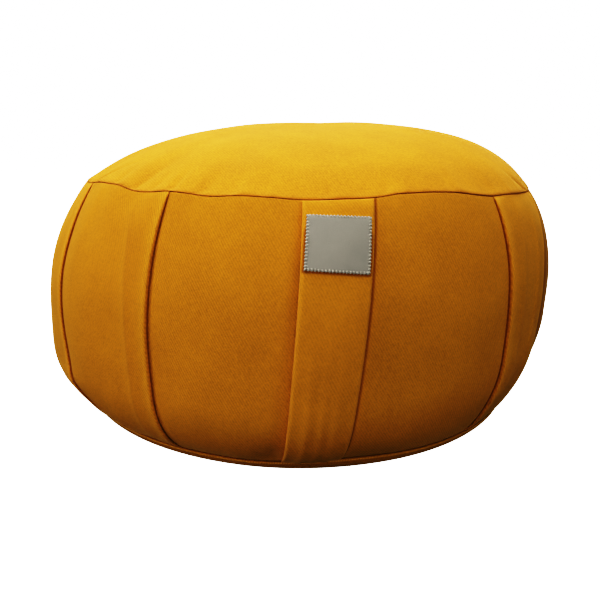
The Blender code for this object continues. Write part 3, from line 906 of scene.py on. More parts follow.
def stuffed_wall_mesh():
    """The filled body: the pleated wall, closed under both covers."""
    z = BOTTOM_SEAM_Z + SHELF_GAP + (TOP_SEAM_Z - BOTTOM_SEAM_Z - 2 * SHELF_GAP) * spread_rows(WALL_ROWS)
    azimuth, fold, shade = wall_columns(z)
    heights = np.broadcast_to(z[:, None], azimuth.shape)
    from_seam = np.minimum(TOP_SEAM_Z - heights, heights - BOTTOM_SEAM_Z)
    fold_height = FOLD_AT_SEAM + (1.0 - FOLD_AT_SEAM) * swell(heights)
    fold_height *= FOLD_LOW_SHARE + (1.0 - FOLD_LOW_SHARE) * off_seam(from_seam)
    radius = wall_profile(azimuth, heights)
    out = fold * fold_height + wall_unevenness(azimuth, heights)
    moved_r, moved_z = pushed_out(radius, heights, out)
    moved_z = np.clip(moved_z, BOTTOM_SEAM_Z + SHELF_GAP, TOP_SEAM_Z - SHELF_GAP)
    wall = polar(azimuth, moved_r, moved_z)
    base_r, base_z = base_profile(HIDDEN_ROWS, COVER_ROOM)
    base_azimuth = np.broadcast_to(azimuth[0], (len(base_r), len(azimuth[0])))
    base = polar(base_azimuth, base_r, base_z + 0.0 * base_azimuth)
    crown_r, crown_z = crown_profile(azimuth[-1], HIDDEN_CROWN_ROWS, COVER_ROOM)
    crown = polar(np.broadcast_to(azimuth[-1], crown_r.shape), crown_r, crown_z)
    rings = np.concatenate([base, wall, crown])
    uv = np.zeros((*rings.shape[:2], 2))
    smooth = polar(azimuth, radius, heights)
    first, last = len(base), len(base) + len(wall)
    uv[first:last, :, 0] = wall_u(smooth)
    uv[first:last, :, 1] = arc_length(smooth, 0)
    uv[:first, :, 0], uv[last:, :, 0] = uv[first, :, 0], uv[last - 1, :, 0]
    uv[last:, :, 1] = uv[last - 1, :, 1]
    low = polar(0.0, 0.0, COVER_ROOM)
    high = polar(0.0, 0.0, TOP_SEAM_Z + CROWN_RISE - COVER_ROOM)
    mesh = loft("stuffed_wall", rings, uv, low, high)
    ridge_painted_highlight, ridge_painted_shade = ridge_painted_light(azimuth, heights)
    # Painted shade in the creases, past the pleats, over the layers beneath and along the seams
    inside = shade * (CREASE_LOW_SHARE + (1.0 - CREASE_LOW_SHARE) * off_seam(from_seam))
    deep = inside + past_pleats(azimuth, heights) + ridge_painted_shade
    along_seam = WALL_SEAM_DEPTH * np.exp(-from_seam / WALL_SEAM_SHADE)
    crease = np.full(rings.shape[:2], HIDDEN_SHADE)
    lip, strap_shade = np.zeros(crease.shape), np.zeros(crease.shape)
    crease[first:last] = np.clip(np.maximum(deep, along_seam), 0.0, 1.0)
    # Painted highlight on the pleats' folded lips and behind the ridges of the layers beneath
    lip[first:last] = np.clip(fold / (LIP_OUT * MM), 0.0, 1.0) ** 4 + ridge_painted_highlight
    strap_shade[first:last] = beside(right_of_strap(azimuth, heights))
    add_attribute(mesh, "crease", crease)
    add_attribute(mesh, "lip", lip)
    add_attribute(mesh, "beside", strap_shade)
    return mesh


def past_pleats(azimuth, z):
    """The shade on the panel past a pleat that hangs well over it."""
    total = 0.0
    for pleat in PLEATS:
        if pleat.past:
            ahead = turn_between(azimuth, line_azimuth(pleat, z)) * pleat.edge
            distance = np.radians(ahead) * crest_radius(pleat.belly, z)
            fading = np.exp(-((distance / (pleat.past * MM)) ** 2))
            total = total + PAST_SHADE * swell(z) * np.where(distance > 0.0, fading, 0.0)
    return total


def right_of_strap(azimuth, z):
    """Metres past the line beside the handle's right edge from which its shade is measured. The line moves
    out where the handle stands off, and left of the handle's middle there is no shade."""
    across = across_strap(azimuth, z)
    edge = 0.5 * strap_width(z) + STRAP_SHADE_SHARE * (strap_stand_off(z) + STRAP_CLOTH)
    return np.where(across < 0.0, 1.0, across - edge)


def wall_u(smooth):
    """Metres of cloth round the wall, panel by panel: each panel's own cloth is measured from its middle,
    and the difference disappears in the creases."""
    lengths = arc_length(smooth, 1)
    round_it = lengths[:, -1:] + np.linalg.norm(smooth[:, :1] - smooth[:, -1:], axis=-1)
    size = 2 * len(FOLD) - 1
    starts, at = [], 0
    for index in range(len(PLEATS)):
        starts.append(at)
        at += size + plain_count(index)
    creases = [s + (CREASE if p.edge > 0 else size - 1 - CREASE) for s, p in zip(starts, PLEATS)]
    edges = [crease + 1 for crease in creases]
    lengths[:, : edges[0]] += round_it
    panels = [np.arange(start, end) for start, end in zip(edges, edges[1:])]
    panels.append(np.concatenate([np.arange(edges[-1], lengths.shape[1]), np.arange(edges[0])]))
    u = np.empty(lengths.shape)
    for columns in panels:
        middle = columns[len(columns) // 2]
        steady = lengths[len(lengths) // 2, middle]
        u[:, columns] = lengths[:, columns] - lengths[:, middle : middle + 1] + steady
    return u


def cover_columns():
    return 360.0 * np.arange(COVER_COLUMNS) / COVER_COLUMNS


def disc_uv(azimuth, from_middle):
    """Flat-cut cloth coordinates of a round cover, from distances travelled out of its middle."""
    angle = np.radians(azimuth)
    return np.stack([from_middle * np.sin(angle), -from_middle * np.cos(angle)], -1)


def crown_pulls(azimuth, distance):
    """The soft pulls, this far in from the seam."""
    out = 0.0
    for pull in PULLS:
        share = distance / pull.length
        aside = turn_between(azimuth, pull.azimuth + pull.drift * share)
        across = np.radians(aside) * (TOP_SEAM_R - distance) / (pull.width * (1.0 + share))
        along = off_seam(distance) * np.maximum(1.0 - share, 0.0) ** 1.5
        out = out - pull.depth * along * np.exp(-(across**2))
    return out


def crown_unevenness(azimuth, radius, z):
    """The crown's gathers along its seam, its soft pulls and lumps, and what the pressure gives it."""
    spots = polar(azimuth, radius, z)
    distance = np.cumsum(np.hypot(np.gradient(radius, axis=0), np.gradient(z, axis=0)), axis=0)
    out = lumpiness(spots, COVER_LUMPS) * (1.0 - np.exp(-distance / COVER_LUMPS_REACH))
    out = out + crown_pulls(azimuth, distance)
    out = out + read_net(PRESSED.crown, azimuth, 1.0 - radius / TOP_SEAM_R) * off_seam(distance)
    return out + seam_puckers(azimuth, distance, COVER_SEED)


def top_cover_mesh():
    azimuth = cover_columns()
    radius, height = crown_profile(azimuth, CROWN_ROWS)
    grid = np.broadcast_to(azimuth, radius.shape)
    out = crown_unevenness(grid, radius, height)
    outer_r, outer_z = pushed_out(radius, height, out)
    outer = polar(grid, outer_r, np.maximum(outer_z, TOP_SEAM_Z + SHELF_GAP))
    rows = np.unique(np.round(np.linspace(0, CROWN_ROWS - 1, UNDERSIDE_ROWS)).astype(int))
    inner_r, inner_z = pushed_out(np.minimum.accumulate(outer_r, axis=0), outer_z, -PANEL_CLOTH)
    inner_z = np.maximum(inner_z, TOP_SEAM_Z + SHELF_GAP)
    inner = polar(grid, inner_r, inner_z)[rows[::-1]]
    rings = np.concatenate([inner, outer])
    apex = polar(0.0, 0.0, TOP_SEAM_Z + CROWN_RISE)
    apex[2] = outer[-1, :, 2].mean() + APEX_RISE
    under = apex - (0.0, 0.0, PANEL_CLOTH)
    travelled = arc_length(outer, 0)
    from_middle = travelled[-1:] - travelled + np.linalg.norm(outer[-1] - apex, axis=-1)
    uv = disc_uv(grid, from_middle)
    mesh = loft("top_cover", rings, np.concatenate([uv[rows[::-1]], uv]), under, apex)
    shade = COVER_SEAM_DEPTH * np.exp(-travelled / COVER_SEAM_SHADE)
    add_attribute(mesh, "crease", np.concatenate([np.zeros(inner.shape[:2]), shade]))
    return mesh


def bottom_cover_mesh():
    azimuth = cover_columns()
    radius, height = base_profile(ROLL_STEPS)
    shape = (len(radius), COVER_COLUMNS)
    grid = np.broadcast_to(azimuth, shape)
    radius, height = np.broadcast_to(radius, shape), np.broadcast_to(height, shape)
    outer = polar(grid, radius, np.minimum(height, BOTTOM_SEAM_Z - SHELF_GAP))
    inner_r, inner_z = pushed_out(radius, height, -PANEL_CLOTH)
    inner = polar(grid, inner_r, np.minimum(inner_z, BOTTOM_SEAM_Z - SHELF_GAP))[::-1]
    rings = np.concatenate([outer, inner])
    travelled = arc_length(outer, 0) + radius[:1]
    uv = disc_uv(grid, travelled)
    low = polar(0.0, 0.0, 0.0)
    mesh = loft("bottom_cover", rings, np.concatenate([uv, uv[::-1]]), low, low + (0.0, 0.0, PANEL_CLOTH))
    shade = np.exp(-(travelled[-1:] - travelled) / WALL_SEAM_SHADE)
    none = np.zeros(inner.shape[:2])
    add_attribute(mesh, "crease", np.concatenate([shade, none]))
    around = np.radians(turn_between(grid, 0.0)) * BOTTOM_SEAM_R
    add_attribute(mesh, "around", np.concatenate([around, none]))
    add_attribute(mesh, "from_seam", np.concatenate([travelled[-1:] - travelled, none]))
    return mesh


def band_section():
    """The outline of a flat band with rounded edges: its share across, and how far each station lies out
    on an edge's round and above the band's middle, in half thicknesses."""
    turn = 0.5 * np.pi - np.pi * np.arange(1, EDGE_STEPS) / EDGE_STEPS
    face = np.linspace(-1.0, 1.0, BAND_COLUMNS + 1)
    back = face[::-3]
    stations = [(share, 0.0, 1.0) for share in face]
    stations += [(1.0, math.cos(a), math.sin(a)) for a in turn]
    stations += [(share, 0.0, -1.0) for share in back]
    stations += [(-1.0, -math.cos(a), -math.sin(a)) for a in turn]
    return np.array(stations).T


def strap_width(z):
    return HANDLE_LOW_WIDTH + (HANDLE_TOP_WIDTH - HANDLE_LOW_WIDTH) * wall_share(z)


def strap_stand_off(z):
    """The handle's slack over the wall, which the bottom seam draws in sooner than the top seam."""
    drawn_in = 1.0 - np.exp(-np.maximum(z - BOTTOM_SEAM_Z, 0.0) / HANDLE_LOW_PINCH)
    return HANDLE_STAND_OFF * drawn_in * np.sin(np.pi * np.clip(wall_share(z), 0.0, 1.0)) ** 0.8


def strap_point(across, z, out):
    """Points over the handle's underside: metres across from its middle line, and metres out."""
    middle = line_azimuth(HANDLE_LINE, z)
    share = 2.0 * across / strap_width(z)
    bow = HANDLE_BOW * swell(z) * (1.0 - share**2)
    azimuth = middle + np.degrees(across / crest_radius(middle, z))
    return wall_point(azimuth, z, GAP + strap_stand_off(z) + bow + out)


def strap_ridges(share, z):
    """The ridges of the layers folded inside the handle."""
    low = np.clip((RIDGES_END_Z - z) / RIDGES_FADE_Z, 0.0, 1.0)
    ridges = sum(np.exp(-(((share - at) / RIDGES_WIDTH) ** 2)) for at in RIDGES_AT)
    return RIDGES_HEIGHT * low * ridges


def handle_mesh():
    shares, round_out, up = band_section()
    z = (HANDLE_LOW_Z + (HANDLE_HIGH_Z - HANDLE_LOW_Z) * spread_rows(HANDLE_ROWS))[:, None]
    from_top, from_low = HANDLE_HIGH_Z - z, z - HANDLE_LOW_Z
    top_share = 1.0 - HANDLE_TOP_THINNED * np.exp(-from_top / HANDLE_TOP_PINCH)
    low_share = 1.0 - HANDLE_LOW_THINNED * np.exp(-from_low / HANDLE_LOW_PINCH)
    half = 0.5 * STRAP_CLOTH * np.minimum(top_share, low_share)
    across = shares * (0.5 * strap_width(z) - half) + round_out * half
    out = half + up * half + np.maximum(up, 0.0) * strap_ridges(shares, z)
    heights = np.broadcast_to(z, across.shape)
    rings = strap_point(across, heights, out)
    uv = np.stack([across + round_out * half, arc_length(rings, 0).mean(1, keepdims=True) + 0 * across], -1)
    mesh = loft("handle_strap", rings, uv, rings[0].mean(0), rings[-1].mean(0))
    # A painted highlight along the handle's folded edges, stronger on its left
    painted_highlight = np.where(shares < 0.0, HANDLE_HIGHLIGHT_LEFT, HANDLE_HIGHLIGHT_RIGHT) * np.abs(shares) ** BAND_EDGE_POWER
    add_attribute(mesh, "lip", np.broadcast_to(painted_highlight, across.shape))
    add_attribute(mesh, "beside", label_shade(across, heights))
    return mesh


def label_shade(across, z):
    """The shade attribute on the handle round the label, from metres across the handle and heights."""
    turn, climb = math.radians(LABEL_TURN), z - LABEL_MIDDLE_Z
    right = across + HANDLE_LEAN * climb
    side = right * math.cos(turn) - climb * math.sin(turn)
    below = -right * math.sin(turn) - climb * math.cos(turn) - LABEL_HALF
    past_label = np.maximum(np.abs(side) - 0.5 * LABEL_WIDTH, below)
    from_top = below + 2.0 * LABEL_HALF
    faded = np.clip((LABEL_FADE_LOW - from_top) / (LABEL_FADE_LOW - LABEL_FADE_HIGH), 0.0, 1.0)
    return np.where(from_top < LABEL_FADE_HIGH, 2.0, beside(past_label) + LABEL_FADE * faded)


def label_point(side, rise, out):
    """Points over the label's place, from metres to the right of its middle and above it."""
    turn = math.radians(LABEL_TURN)
    right = side * math.cos(turn) + rise * math.sin(turn)
    climb = rise * math.cos(turn) - side * math.sin(turn)
    return strap_point(right - HANDLE_LEAN * climb, LABEL_MIDDLE_Z + climb, STRAP_CLOTH + GAP + out)


def label_mesh():
    shares, round_out, up = band_section()
    rise = (LABEL_HALF * (2.0 * spread_rows(LABEL_ROWS) - 1.0))[:, None]
    off_edge = 1.0 - np.exp((np.abs(rise) - LABEL_HALF) / LABEL_EDGE_REACH)
    half = 0.5 * LABEL_CLOTH * (LABEL_EDGE_SHARE + (1.0 - LABEL_EDGE_SHARE) * off_edge)
    side = shares * (0.5 * LABEL_WIDTH - half) + round_out * half
    wave = LABEL_WAVE * np.sin(260.0 * side + 1.0) * np.sin(190.0 * rise + 2.0)
    rises = np.broadcast_to(rise, side.shape)
    rings = label_point(side, rises, half + up * half + np.maximum(up, 0.0) * wave)
    uv = np.stack([side, rises], -1)
    return loft("blank_label", rings, uv, rings[0].mean(0), rings[-1].mean(0))


class Tree:
    """A Geometry Nodes tree, built a node at a time."""

    def __init__(self, name, inputs):
        self.group = bpy.data.node_groups.new(name, "GeometryNodeTree")
        self.group.interface.new_socket("Geometry", in_out="INPUT", socket_type="NodeSocketGeometry")
        self.group.interface.new_socket("Geometry", in_out="OUTPUT", socket_type="NodeSocketGeometry")
        for label, (kind, value) in inputs.items():
            socket = self.group.interface.new_socket(label, in_out="INPUT", socket_type="NodeSocket" + kind)
            if value is not None:
                socket.default_value = value
        self.start = self.group.nodes.new("NodeGroupInput")
        self.end = self.group.nodes.new("NodeGroupOutput")

    def node(self, kind, settings=None, values=None):
        """Any node: its type, its settings, and the values or sockets of its inputs."""
        made = self.group.nodes.new(kind)
        for name, value in (settings or {}).items():
            setattr(made, name, value)
        for key, value in (values or {}).items():
            if isinstance(value, bpy.types.NodeSocket):
                self.group.links.new(value, made.inputs[key])
            else:
                made.inputs[key].default_value = value
        return made

    def maths(self, operation, first, second):
        return self.node("ShaderNodeMath", {"operation": operation}, {0: first, 1: second}).outputs[0]

    def attribute(self, name):
        """A vector that every point of the path carries."""
        kind = {"data_type": "FLOAT_VECTOR"}
        return self.node("GeometryNodeInputNamedAttribute", kind, {"Name": name}).outputs[0]

    def finish(self, geometry):
        self.group.links.new(geometry, self.end.inputs["Geometry"])

    def identifiers(self):
        sockets = self.group.interface.items_tree
        return {socket.name: socket.identifier for socket in sockets if socket.in_out == "INPUT"}


def whip_stitch_tree():
    """Loops of thread over an edge: the path gives their places, and its "outward" and "away" vectors which
    way each loop stands and crosses."""
    tree = Tree("whip_stitches", {
        "Pitch": ("Float", STITCH_PITCH),
        "Reach in": ("Float", STITCH_IN),
        "Reach out": ("Float", STITCH_OUT),
        "Thread": ("Float", THREAD),
        "Drop": ("Float", LABEL_CLOTH),
        "Slant": ("Float", STITCH_SLANT),
        "Seed": ("Int", STITCH_SEED),
        "Material": ("Material", None),
    })
    given = tree.start.outputs
    path = tree.node("GeometryNodeMeshToCurve", {}, {"Mesh": given["Geometry"]})
    places = tree.node("GeometryNodeResampleCurve", {"mode": "LENGTH"}, {
        "Curve": path.outputs[0], "Length": given["Pitch"],
    })
    inner = tree.maths("MULTIPLY", given["Reach in"], -1.0)
    lower = tree.maths("MULTIPLY", given["Drop"], -1.0)
    high = tree.maths("MULTIPLY", given["Thread"], STITCH_RISE)
    begin = tree.node("ShaderNodeCombineXYZ", {}, {"X": inner, "Z": 0.0})
    middle = tree.node("ShaderNodeCombineXYZ", {}, {"X": given["Reach out"], "Z": high})
    end = tree.node("ShaderNodeCombineXYZ", {}, {"X": given["Reach out"], "Z": lower})
    loop = tree.node("GeometryNodeCurveQuadraticBezier", {}, {
        "Resolution": 6, "Start": begin.outputs[0], "Middle": middle.outputs[0], "End": end.outputs[0],
    })
    ring = tree.node("GeometryNodeCurvePrimitiveCircle", {}, {"Resolution": 6, "Radius": given["Thread"]})
    thread = tree.node("GeometryNodeCurveToMesh", {}, {
        "Curve": loop.outputs[0], "Profile Curve": ring.outputs[0], "Fill Caps": True,
    })
    outward, away = tree.attribute("outward"), tree.attribute("away")
    stand = tree.node("FunctionNodeAlignRotationToVector", {"axis": "Z"}, {"Vector": outward})
    cross = tree.node("FunctionNodeAlignRotationToVector", {"axis": "X", "pivot_axis": "Z"}, {
        "Rotation": stand.outputs[0], "Vector": away,
    })
    wander = tree.node("FunctionNodeRandomValue", {"data_type": "FLOAT"}, {
        2: -STITCH_WANDER, 3: STITCH_WANDER, "Seed": given["Seed"],
    })
    lean = tree.maths("ADD", given["Slant"], wander.outputs[1])
    turn = tree.node("ShaderNodeCombineXYZ", {}, {"Z": lean})
    turned = tree.node("FunctionNodeRotateRotation", {"rotation_space": "LOCAL"}, {
        0: cross.outputs[0], 1: turn.outputs[0],
    })
    later = tree.maths("ADD", given["Seed"], 5.0)
    size = tree.node("FunctionNodeRandomValue", {"data_type": "FLOAT_VECTOR"}, {
        0: STITCH_SMALLEST, 1: STITCH_LARGEST, "Seed": later,
    })
    loops = tree.node("GeometryNodeInstanceOnPoints", {}, {
        "Points": places.outputs[0], "Instance": thread.outputs[0],
        "Rotation": turned.outputs[0], "Scale": size.outputs[0],
    })
    real = tree.node("GeometryNodeRealizeInstances", {}, {"Geometry": loops.outputs[0]})
    smooth = tree.node("GeometryNodeSetShadeSmooth", {}, {"Geometry": real.outputs[0]})
    finished = tree.node("GeometryNodeSetMaterial", {}, {
        "Geometry": smooth.outputs[0], "Material": given["Material"],
    })
    tree.finish(finished.outputs[0])
    return tree


def grown(name, path, tree, values):
    """The plain mesh that a tree makes on a path."""
    holder = bpy.data.objects.new(name + "_path", path)
    bpy.context.scene.collection.objects.link(holder)
    modifier = holder.modifiers.new("grown", "NODES")
    modifier.node_group = tree.group
    for label, identifier in tree.identifiers().items():
        if label in values:
            modifier[identifier] = values[label]
    seen = holder.evaluated_get(bpy.context.evaluated_depsgraph_get())
    mesh = bpy.data.meshes.new_from_object(seen)
    mesh.name = name
    bpy.data.objects.remove(holder, do_unlink=True)
    return mesh


def label_edge_path():
    """A closed path along the label's edge, with the ways out of its face and away from its middle."""
    run = np.linspace(-1.0, 1.0, 25)[:-1]
    share_x = np.concatenate([run, np.ones(24), -run, -np.ones(24)])
    share_z = np.concatenate([-np.ones(24), run, np.ones(24), -run])
    half_x, half_z = 0.5 * LABEL_WIDTH - STITCH_LINE, LABEL_HALF - STITCH_LINE
    side, rise, top = share_x * half_x, share_z * half_z, LABEL_CLOTH - STITCH_SUNK
    points = label_point(side, rise, top)
    outward = label_point(side, rise, top + MM) - points
    to_right = label_point(side + 0.1 * MM, rise, top) - points
    to_top = label_point(side, rise + 0.1 * MM, top) - points
    at_side, at_end = np.abs(share_x) > np.abs(share_z) - 1e-9, np.abs(share_z) >= np.abs(share_x)
    away = to_right * (np.sign(share_x) * at_side)[:, None] + to_top * (np.sign(share_z) * at_end)[:, None]
    mesh = bpy.data.meshes.new("label_edge")
    count = len(points)
    mesh.from_pydata(points.tolist(), [(n, (n + 1) % count) for n in range(count)], [])
    for name, ways in (("outward", outward), ("away", away)):
        made = mesh.attributes.new(name, "FLOAT_VECTOR", "POINT")
        ways = ways / np.linalg.norm(ways, axis=1)[:, None]
        made.data.foreach_set("vector", ways.astype(np.float32).ravel())
    return mesh


def label_stitches_mesh(thread):
    return grown("label_stitches", label_edge_path(), whip_stitch_tree(), {
        "Pitch": STITCH_PITCH, "Reach in": STITCH_IN, "Reach out": STITCH_OUT, "Thread": THREAD,
        "Drop": LABEL_CLOTH, "Slant": STITCH_SLANT, "Seed": STITCH_SEED, "Material": thread,
    })


# Finishes


class Wire:
    """A value in a finish. Maths on it adds Math nodes."""

    def __init__(self, finish, socket):
        self.finish = finish
        self.socket = socket

    def __add__(self, other):
        return self.finish.maths("ADD", self, other)

    def __sub__(self, other):
        return self.finish.maths("SUBTRACT", self, other)

    def __mul__(self, other):
        return self.finish.maths("MULTIPLY", self, other)

    def wave(self):
        """From 0 to 1 and back as the value grows by 1."""
        return self.finish.maths("COSINE", self * (2.0 * math.pi)) * 0.5 + 0.5


class Finish:
    """A procedural material, written as expressions on its wires."""

    def __init__(self, name, roughness, sheen=0.0, sheen_tint=(1.0, 1.0, 1.0)):
        self.material = bpy.data.materials.new(name)
        self.material.use_nodes = True
        self.tree = self.material.node_tree
        self.surface = self.tree.nodes["Principled BSDF"]
        self.surface.inputs["Roughness"].default_value = roughness
        self.surface.inputs["Specular IOR Level"].default_value = CLOTH_GLOSS
        self.surface.inputs["Sheen Weight"].default_value = sheen
        self.surface.inputs["Sheen Tint"].default_value = (*sheen_tint, 1.0)
        self.surface.inputs["Sheen Roughness"].default_value = SHEEN_ROUGHNESS

    def node(self, kind, settings=None, values=None, output=0):
        """Any node: its type, its settings, the values or wires of its inputs, and the output to read."""
        made = self.tree.nodes.new("ShaderNode" + kind)
        for name, value in (settings or {}).items():
            setattr(made, name, value)
        for key, value in (values or {}).items():
            self.feed(made.inputs[key], value)
        return Wire(self, made.outputs[output])

    def feed(self, socket, value):
        if isinstance(value, Wire):
            self.tree.links.new(value.socket, socket)
        else:
            socket.default_value = value

    def blend(self, share, low, high):
        """A colour between two colours."""
        return self.node("Mix", {"data_type": "RGBA"}, {0: share, 6: low, 7: high}, 2)

    def noise(self, scale, detail=2.0, roughness=0.5):
        """Unevenness in space, which is 0.5 on the whole, with this many waves in a metre."""
        place = self.node("TexCoord", {}, {}, "Object")
        values = {"Vector": place, "Scale": scale, "Detail": detail, "Roughness": roughness}
        return self.node("TexNoise", {}, values)

    def flat_cloth(self):
        """Metres across and along the piece's flat cloth."""
        cloth = self.node("UVMap", {"uv_map": "cloth"}, {}, "UV")
        return [self.node("SeparateXYZ", {}, {0: cloth}, axis) for axis in "XY"]

    def attribute(self, name):
        return self.node("Attribute", {"attribute_name": name}, {}, "Fac")

    def maths(self, operation, *values):
        return self.node("Math", {"operation": operation}, dict(enumerate(values)))

    def hill(self, value, low, high):
        """1 midway between low and high, falling smoothly to 0 at both."""
        away = self.maths("ABSOLUTE", value - 0.5 * (low + high))
        settings = {"interpolation_type": "SMOOTHSTEP"}
        values = {"Value": away, "From Max": 0.5 * (high - low), "To Min": 1.0, "To Max": 0.0}
        return self.node("MapRange", settings, values)

    def clamped(self, value, low, high):
        """0 below low and 1 above high."""
        return self.node("MapRange", {}, {"Value": value, "From Min": low, "From Max": high})

    def done(self, colour, height, relief, strength=1.0):
        """The material, with its colour and the relief that the heights give it."""
        bump = self.node("Bump", {}, {"Strength": strength, "Distance": relief, "Height": height}, "Normal")
        self.feed(self.surface.inputs["Base Color"], colour)
        self.feed(self.surface.inputs["Normal"], bump)
        return self.material


def rgb(red, green, blue):
    return (red, green, blue, 1.0)


def twill(name, dye, contrast=0.32, relief=0.00016, rib_share=0.14, painted_highlight=0.3, ticks=0.0):
    """Washed cotton twill: diagonal ribs of short floats, mottled by washing, with a painted highlight
    where the lip attribute marks folded edges and painted shade in its creases, along its seams and beside
    pieces on top.
    Contrast is how far the pattern's dark falls below the dye."""
    finish = Finish(name, roughness=0.9, sheen=0.25, sheen_tint=SHEEN_TINT)
    dye = np.array(dye)
    u, v = finish.flat_cloth()
    drift = finish.noise(DRIFT_GRAIN) - 0.5
    phase = (u * TWILL_ACROSS + v * TWILL_UP) * (1.0 / TWILL_PITCH) + drift * 0.5
    rib = phase.wave()
    across = (v * TWILL_ACROSS - u * TWILL_UP) * (1.0 / (FLOAT_SHARE * TWILL_PITCH))
    float_end = (across + rib * 0.25).wave()
    fibre = finish.noise(FIBRE_GRAIN)
    slub = finish.noise(SLUB_GRAIN)
    wash = finish.noise(WASH_GRAIN, 3.0, 0.6)
    lip = finish.attribute("lip")
    ribs = (rib * 0.7 + rib * float_end * 0.3) * (lip * 1.5 + 1.0) * rib_share
    height = ribs * 3.3 + fibre * 0.25 + slub * 0.35
    shade = ribs + fibre * 0.18 + slub * 0.42 + wash * 0.26
    share = finish.clamped(shade, 0.28, 0.74 + rib_share * 0.8)
    colour = finish.blend(share, rgb(*(dye * (1.0 - contrast))), rgb(*(dye * (1.0 + 0.6 * contrast))))
    # Painted highlight where the lip attribute is set: the pleats' lips, the layers' ridges and the
    # handle's edges
    pale = np.minimum(dye * 1.15 + (0.03, 0.05, 0.02), 0.95)
    colour = finish.blend(lip * painted_highlight, colour, rgb(*pale))
    if ticks:
        tick = (finish.attribute("around") * (1.0 / TICK_PITCH)).wave()
        band = finish.hill(finish.attribute("from_seam"), TICK_LOW, TICK_HIGH)
        colour = finish.blend(band * (tick * 0.9 + 0.1) * ticks, colour, rgb(*(dye * TICK_PALE)))
        height = height + band * tick * 0.6
    # Painted shade: creases, seams, panels past pleats and the cloth beside the handle and round the label
    # are darkened
    edge = finish.hill(finish.attribute("beside"), BESIDE_LOW, BESIDE_HIGH) * BESIDE_DEPTH
    deepest = finish.maths("MAXIMUM", finish.attribute("crease"), edge)
    colour = finish.blend(deepest * CREASE_DEPTH, colour, rgb(*(dye * CREASE_SHADE_COLOUR)))
    return finish.done(colour, height, relief)


def satin(name, grey):
    """A woven satin ribbon: very fine warp and weft, with a soft lustre."""
    finish = Finish(name, roughness=0.5, sheen=0.15)
    grey = np.array(grey)
    u, v = finish.flat_cloth()
    weft = (v * (1.0 / SATIN_PITCH)).wave()
    warp = (u * (1.0 / SATIN_PITCH)).wave()
    soft = finish.noise(120.0)
    fibre = finish.noise(2400.0)
    shade = weft * 0.25 + warp * 0.15 + fibre * 0.3 + soft * 0.5
    colour = finish.blend(finish.clamped(shade, 0.3, 0.9), rgb(*(grey * 0.86)), rgb(*(grey * 1.1)))
    return finish.done(colour, weft + fibre, FINE_RELIEF, 0.6)


def stitch_thread(name, pale):
    """Off-white cotton thread, with the slight unevenness of its plies."""
    finish = Finish(name, roughness=0.8, sheen=0.2)
    pale = np.array(pale)
    ply = finish.noise(1500.0)
    soft = finish.noise(260.0, 1.0)
    share = finish.clamped(ply * 0.6 + soft * 0.4, 0.3, 0.7)
    return finish.done(finish.blend(share, rgb(*(pale * 0.8)), rgb(*pale)), ply, FINE_RELIEF, 0.8)


# Studio and camera


def set_tone():
    """The photograph's tone: light of HALF_LIGHT comes out half as bright as white, and the tone rises
    round it in an even curve, so that shade deepens and its colour with it."""
    view = bpy.context.scene.view_settings
    view.view_transform = "Standard"
    view.use_curve_mapping = True
    mapping = view.curve_mapping
    mapping.white_level = (TONE_REACH, TONE_REACH, TONE_REACH)
    combined = mapping.curves[3]
    for share in TONE_STOPS:
        power = (share * TONE_REACH) ** TONE_STEEPNESS
        height = power / (power + HALF_LIGHT**TONE_STEEPNESS)
        if share == 1.0:
            combined.points[-1].location = (1.0, 1.0)
        else:
            combined.points.new(share, height)
    mapping.update()


def add_floor():
    mesh = bpy.data.meshes.new("floor")
    corners = [(FLOOR_HALF * x, FLOOR_HALF * y, 0.0) for x, y in ((-1, -1), (1, -1), (1, 1), (-1, 1))]
    mesh.from_pydata(corners, [], [(0, 1, 2, 3)])
    floor = bpy.data.objects.new("floor", mesh)
    bpy.context.scene.collection.objects.link(floor)
    finish = Finish("pale_floor", roughness=0.9)
    finish.surface.inputs["Base Color"].default_value = rgb(FLOOR_GREY, FLOOR_GREY, FLOOR_GREY)
    finish.surface.inputs["Emission Color"].default_value = rgb(1.0, 1.0, 1.0)
    finish.surface.inputs["Emission Strength"].default_value = FLOOR_GLOW
    mesh.materials.append(finish.material)
    floor.visible_diffuse = False
    floor.visible_glossy = False


def add_light(row):
    """A round soft light of the table, turned to the cushion."""
    data = bpy.data.lights.new(row.name, "AREA")
    data.shape = "DISK"
    data.size = row.size
    data.energy = row.watts
    data.color = row.colour
    light = bpy.data.objects.new(row.name, data)
    light.location = row.at
    light.rotation_euler = (Vector(LIGHTS_AIM) - Vector(row.at)).to_track_quat("-Z", "Y").to_euler()
    bpy.context.scene.collection.objects.link(light)


def add_world():
    """A soft dim surround from above, and a pale backdrop where the camera looks past the floor."""
    world = bpy.data.worlds.new("studio")
    bpy.context.scene.world = world
    world.use_nodes = True
    tree = world.node_tree
    tree.nodes.clear()
    kinds = ("OutputWorld", "MixShader", "LightPath", "Background", "Background")
    out, mix, path, soft, pale = [tree.nodes.new("ShaderNode" + kind) for kind in kinds]
    kinds = ("TexCoord", "SeparateXYZ", "MapRange")
    place, split, above = [tree.nodes.new("ShaderNode" + kind) for kind in kinds]
    above.inputs["From Min"].default_value = AMBIENT_FROM
    above.inputs["From Max"].default_value = AMBIENT_TO
    above.inputs["To Max"].default_value = AMBIENT
    pale.inputs["Color"].default_value = rgb(BACKDROP, BACKDROP, BACKDROP)
    soft.inputs["Color"].default_value = rgb(1.0, 1.0, 1.0)
    for start, end in (
        (place.outputs["Generated"], split.inputs[0]),
        (split.outputs["Z"], above.inputs["Value"]),
        (above.outputs[0], soft.inputs["Strength"]),
        (path.outputs["Is Camera Ray"], mix.inputs[0]),
        (soft.outputs[0], mix.inputs[1]),
        (pale.outputs[0], mix.inputs[2]),
        (mix.outputs[0], out.inputs[0]),
    ):
        tree.links.new(start, end)


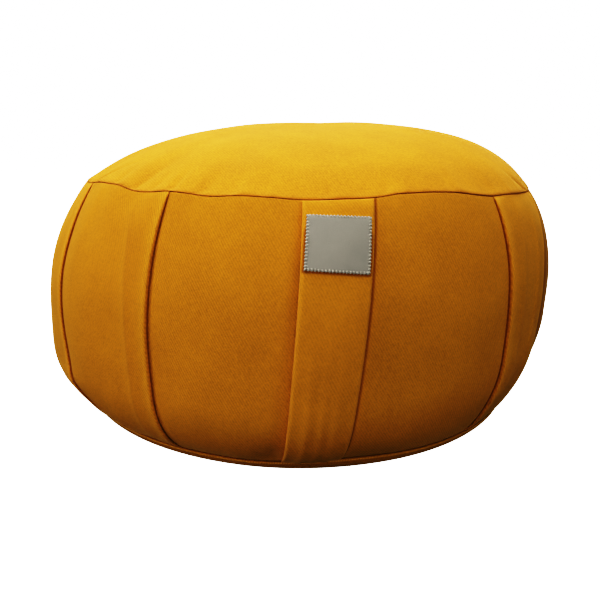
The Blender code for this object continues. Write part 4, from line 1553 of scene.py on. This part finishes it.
def add_camera():
    """The camera at the photograph's angle: turned, tipped down, and rolled a little."""
    data = bpy.data.cameras.new("camera")
    data.sensor_width = SENSOR
    data.lens = SENSOR * FOCAL_PIXELS / FRAME_PIXELS
    data.clip_start = 0.01
    camera = bpy.data.objects.new("camera", data)
    bpy.context.scene.collection.objects.link(camera)
    ahead = Vector((
        math.sin(CAMERA_YAW) * math.cos(CAMERA_PITCH),
        math.cos(CAMERA_YAW) * math.cos(CAMERA_PITCH),
        -math.sin(CAMERA_PITCH),
    ))
    level_right = ahead.cross(Vector((0.0, 0.0, 1.0))).normalized()
    level_up = level_right.cross(ahead)
    right = level_right * math.cos(CAMERA_ROLL) + level_up * math.sin(CAMERA_ROLL)
    up = level_up * math.cos(CAMERA_ROLL) - level_right * math.sin(CAMERA_ROLL)
    turn = Matrix((right, up, -ahead)).transposed()
    camera.matrix_world = Matrix.Translation(CAMERA_AT) @ turn.to_4x4()
    bpy.context.scene.camera = camera


# The cushion

PRESSED = pressed_cloth()


def main():
    set_tone()
    add_camera()

    wall_cloth = twill("wall_twill", DYE)
    cover_cloth = twill("cover_twill", DYE, contrast=0.40, relief=0.00014, rib_share=0.08)
    # The underside's cloth is darkened as painted shade
    base_cloth = twill("base_twill", DYE * np.array(BASE_PAINTED_SHADE), contrast=0.25, ticks=0.7)
    strap_cloth = twill("strap_twill", DYE, contrast=0.28, relief=0.00014, rib_share=0.13)

    wall = add_piece("stuffed_wall", stuffed_wall_mesh(), wall_cloth)
    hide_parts("cushion_body")

    top = add_piece("top_cover", top_cover_mesh(), cover_cloth)
    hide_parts("top_panel")

    bottom = add_piece("bottom_cover", bottom_cover_mesh(), base_cloth)
    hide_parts("bottom_panel")

    handle = add_piece("handle_strap", handle_mesh(), strap_cloth)
    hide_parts("carry_handle")

    thread = stitch_thread("pale_thread", THREAD_PALE)
    stitches = add_piece("label_stitches", label_stitches_mesh(thread), thread)

    label = add_piece("blank_label", label_mesh(), satin("label_satin", LABEL_GREY))
    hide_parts("side_label")

    add_floor()
    for row in LIGHTS:
        add_light(row)
    add_world()


main()
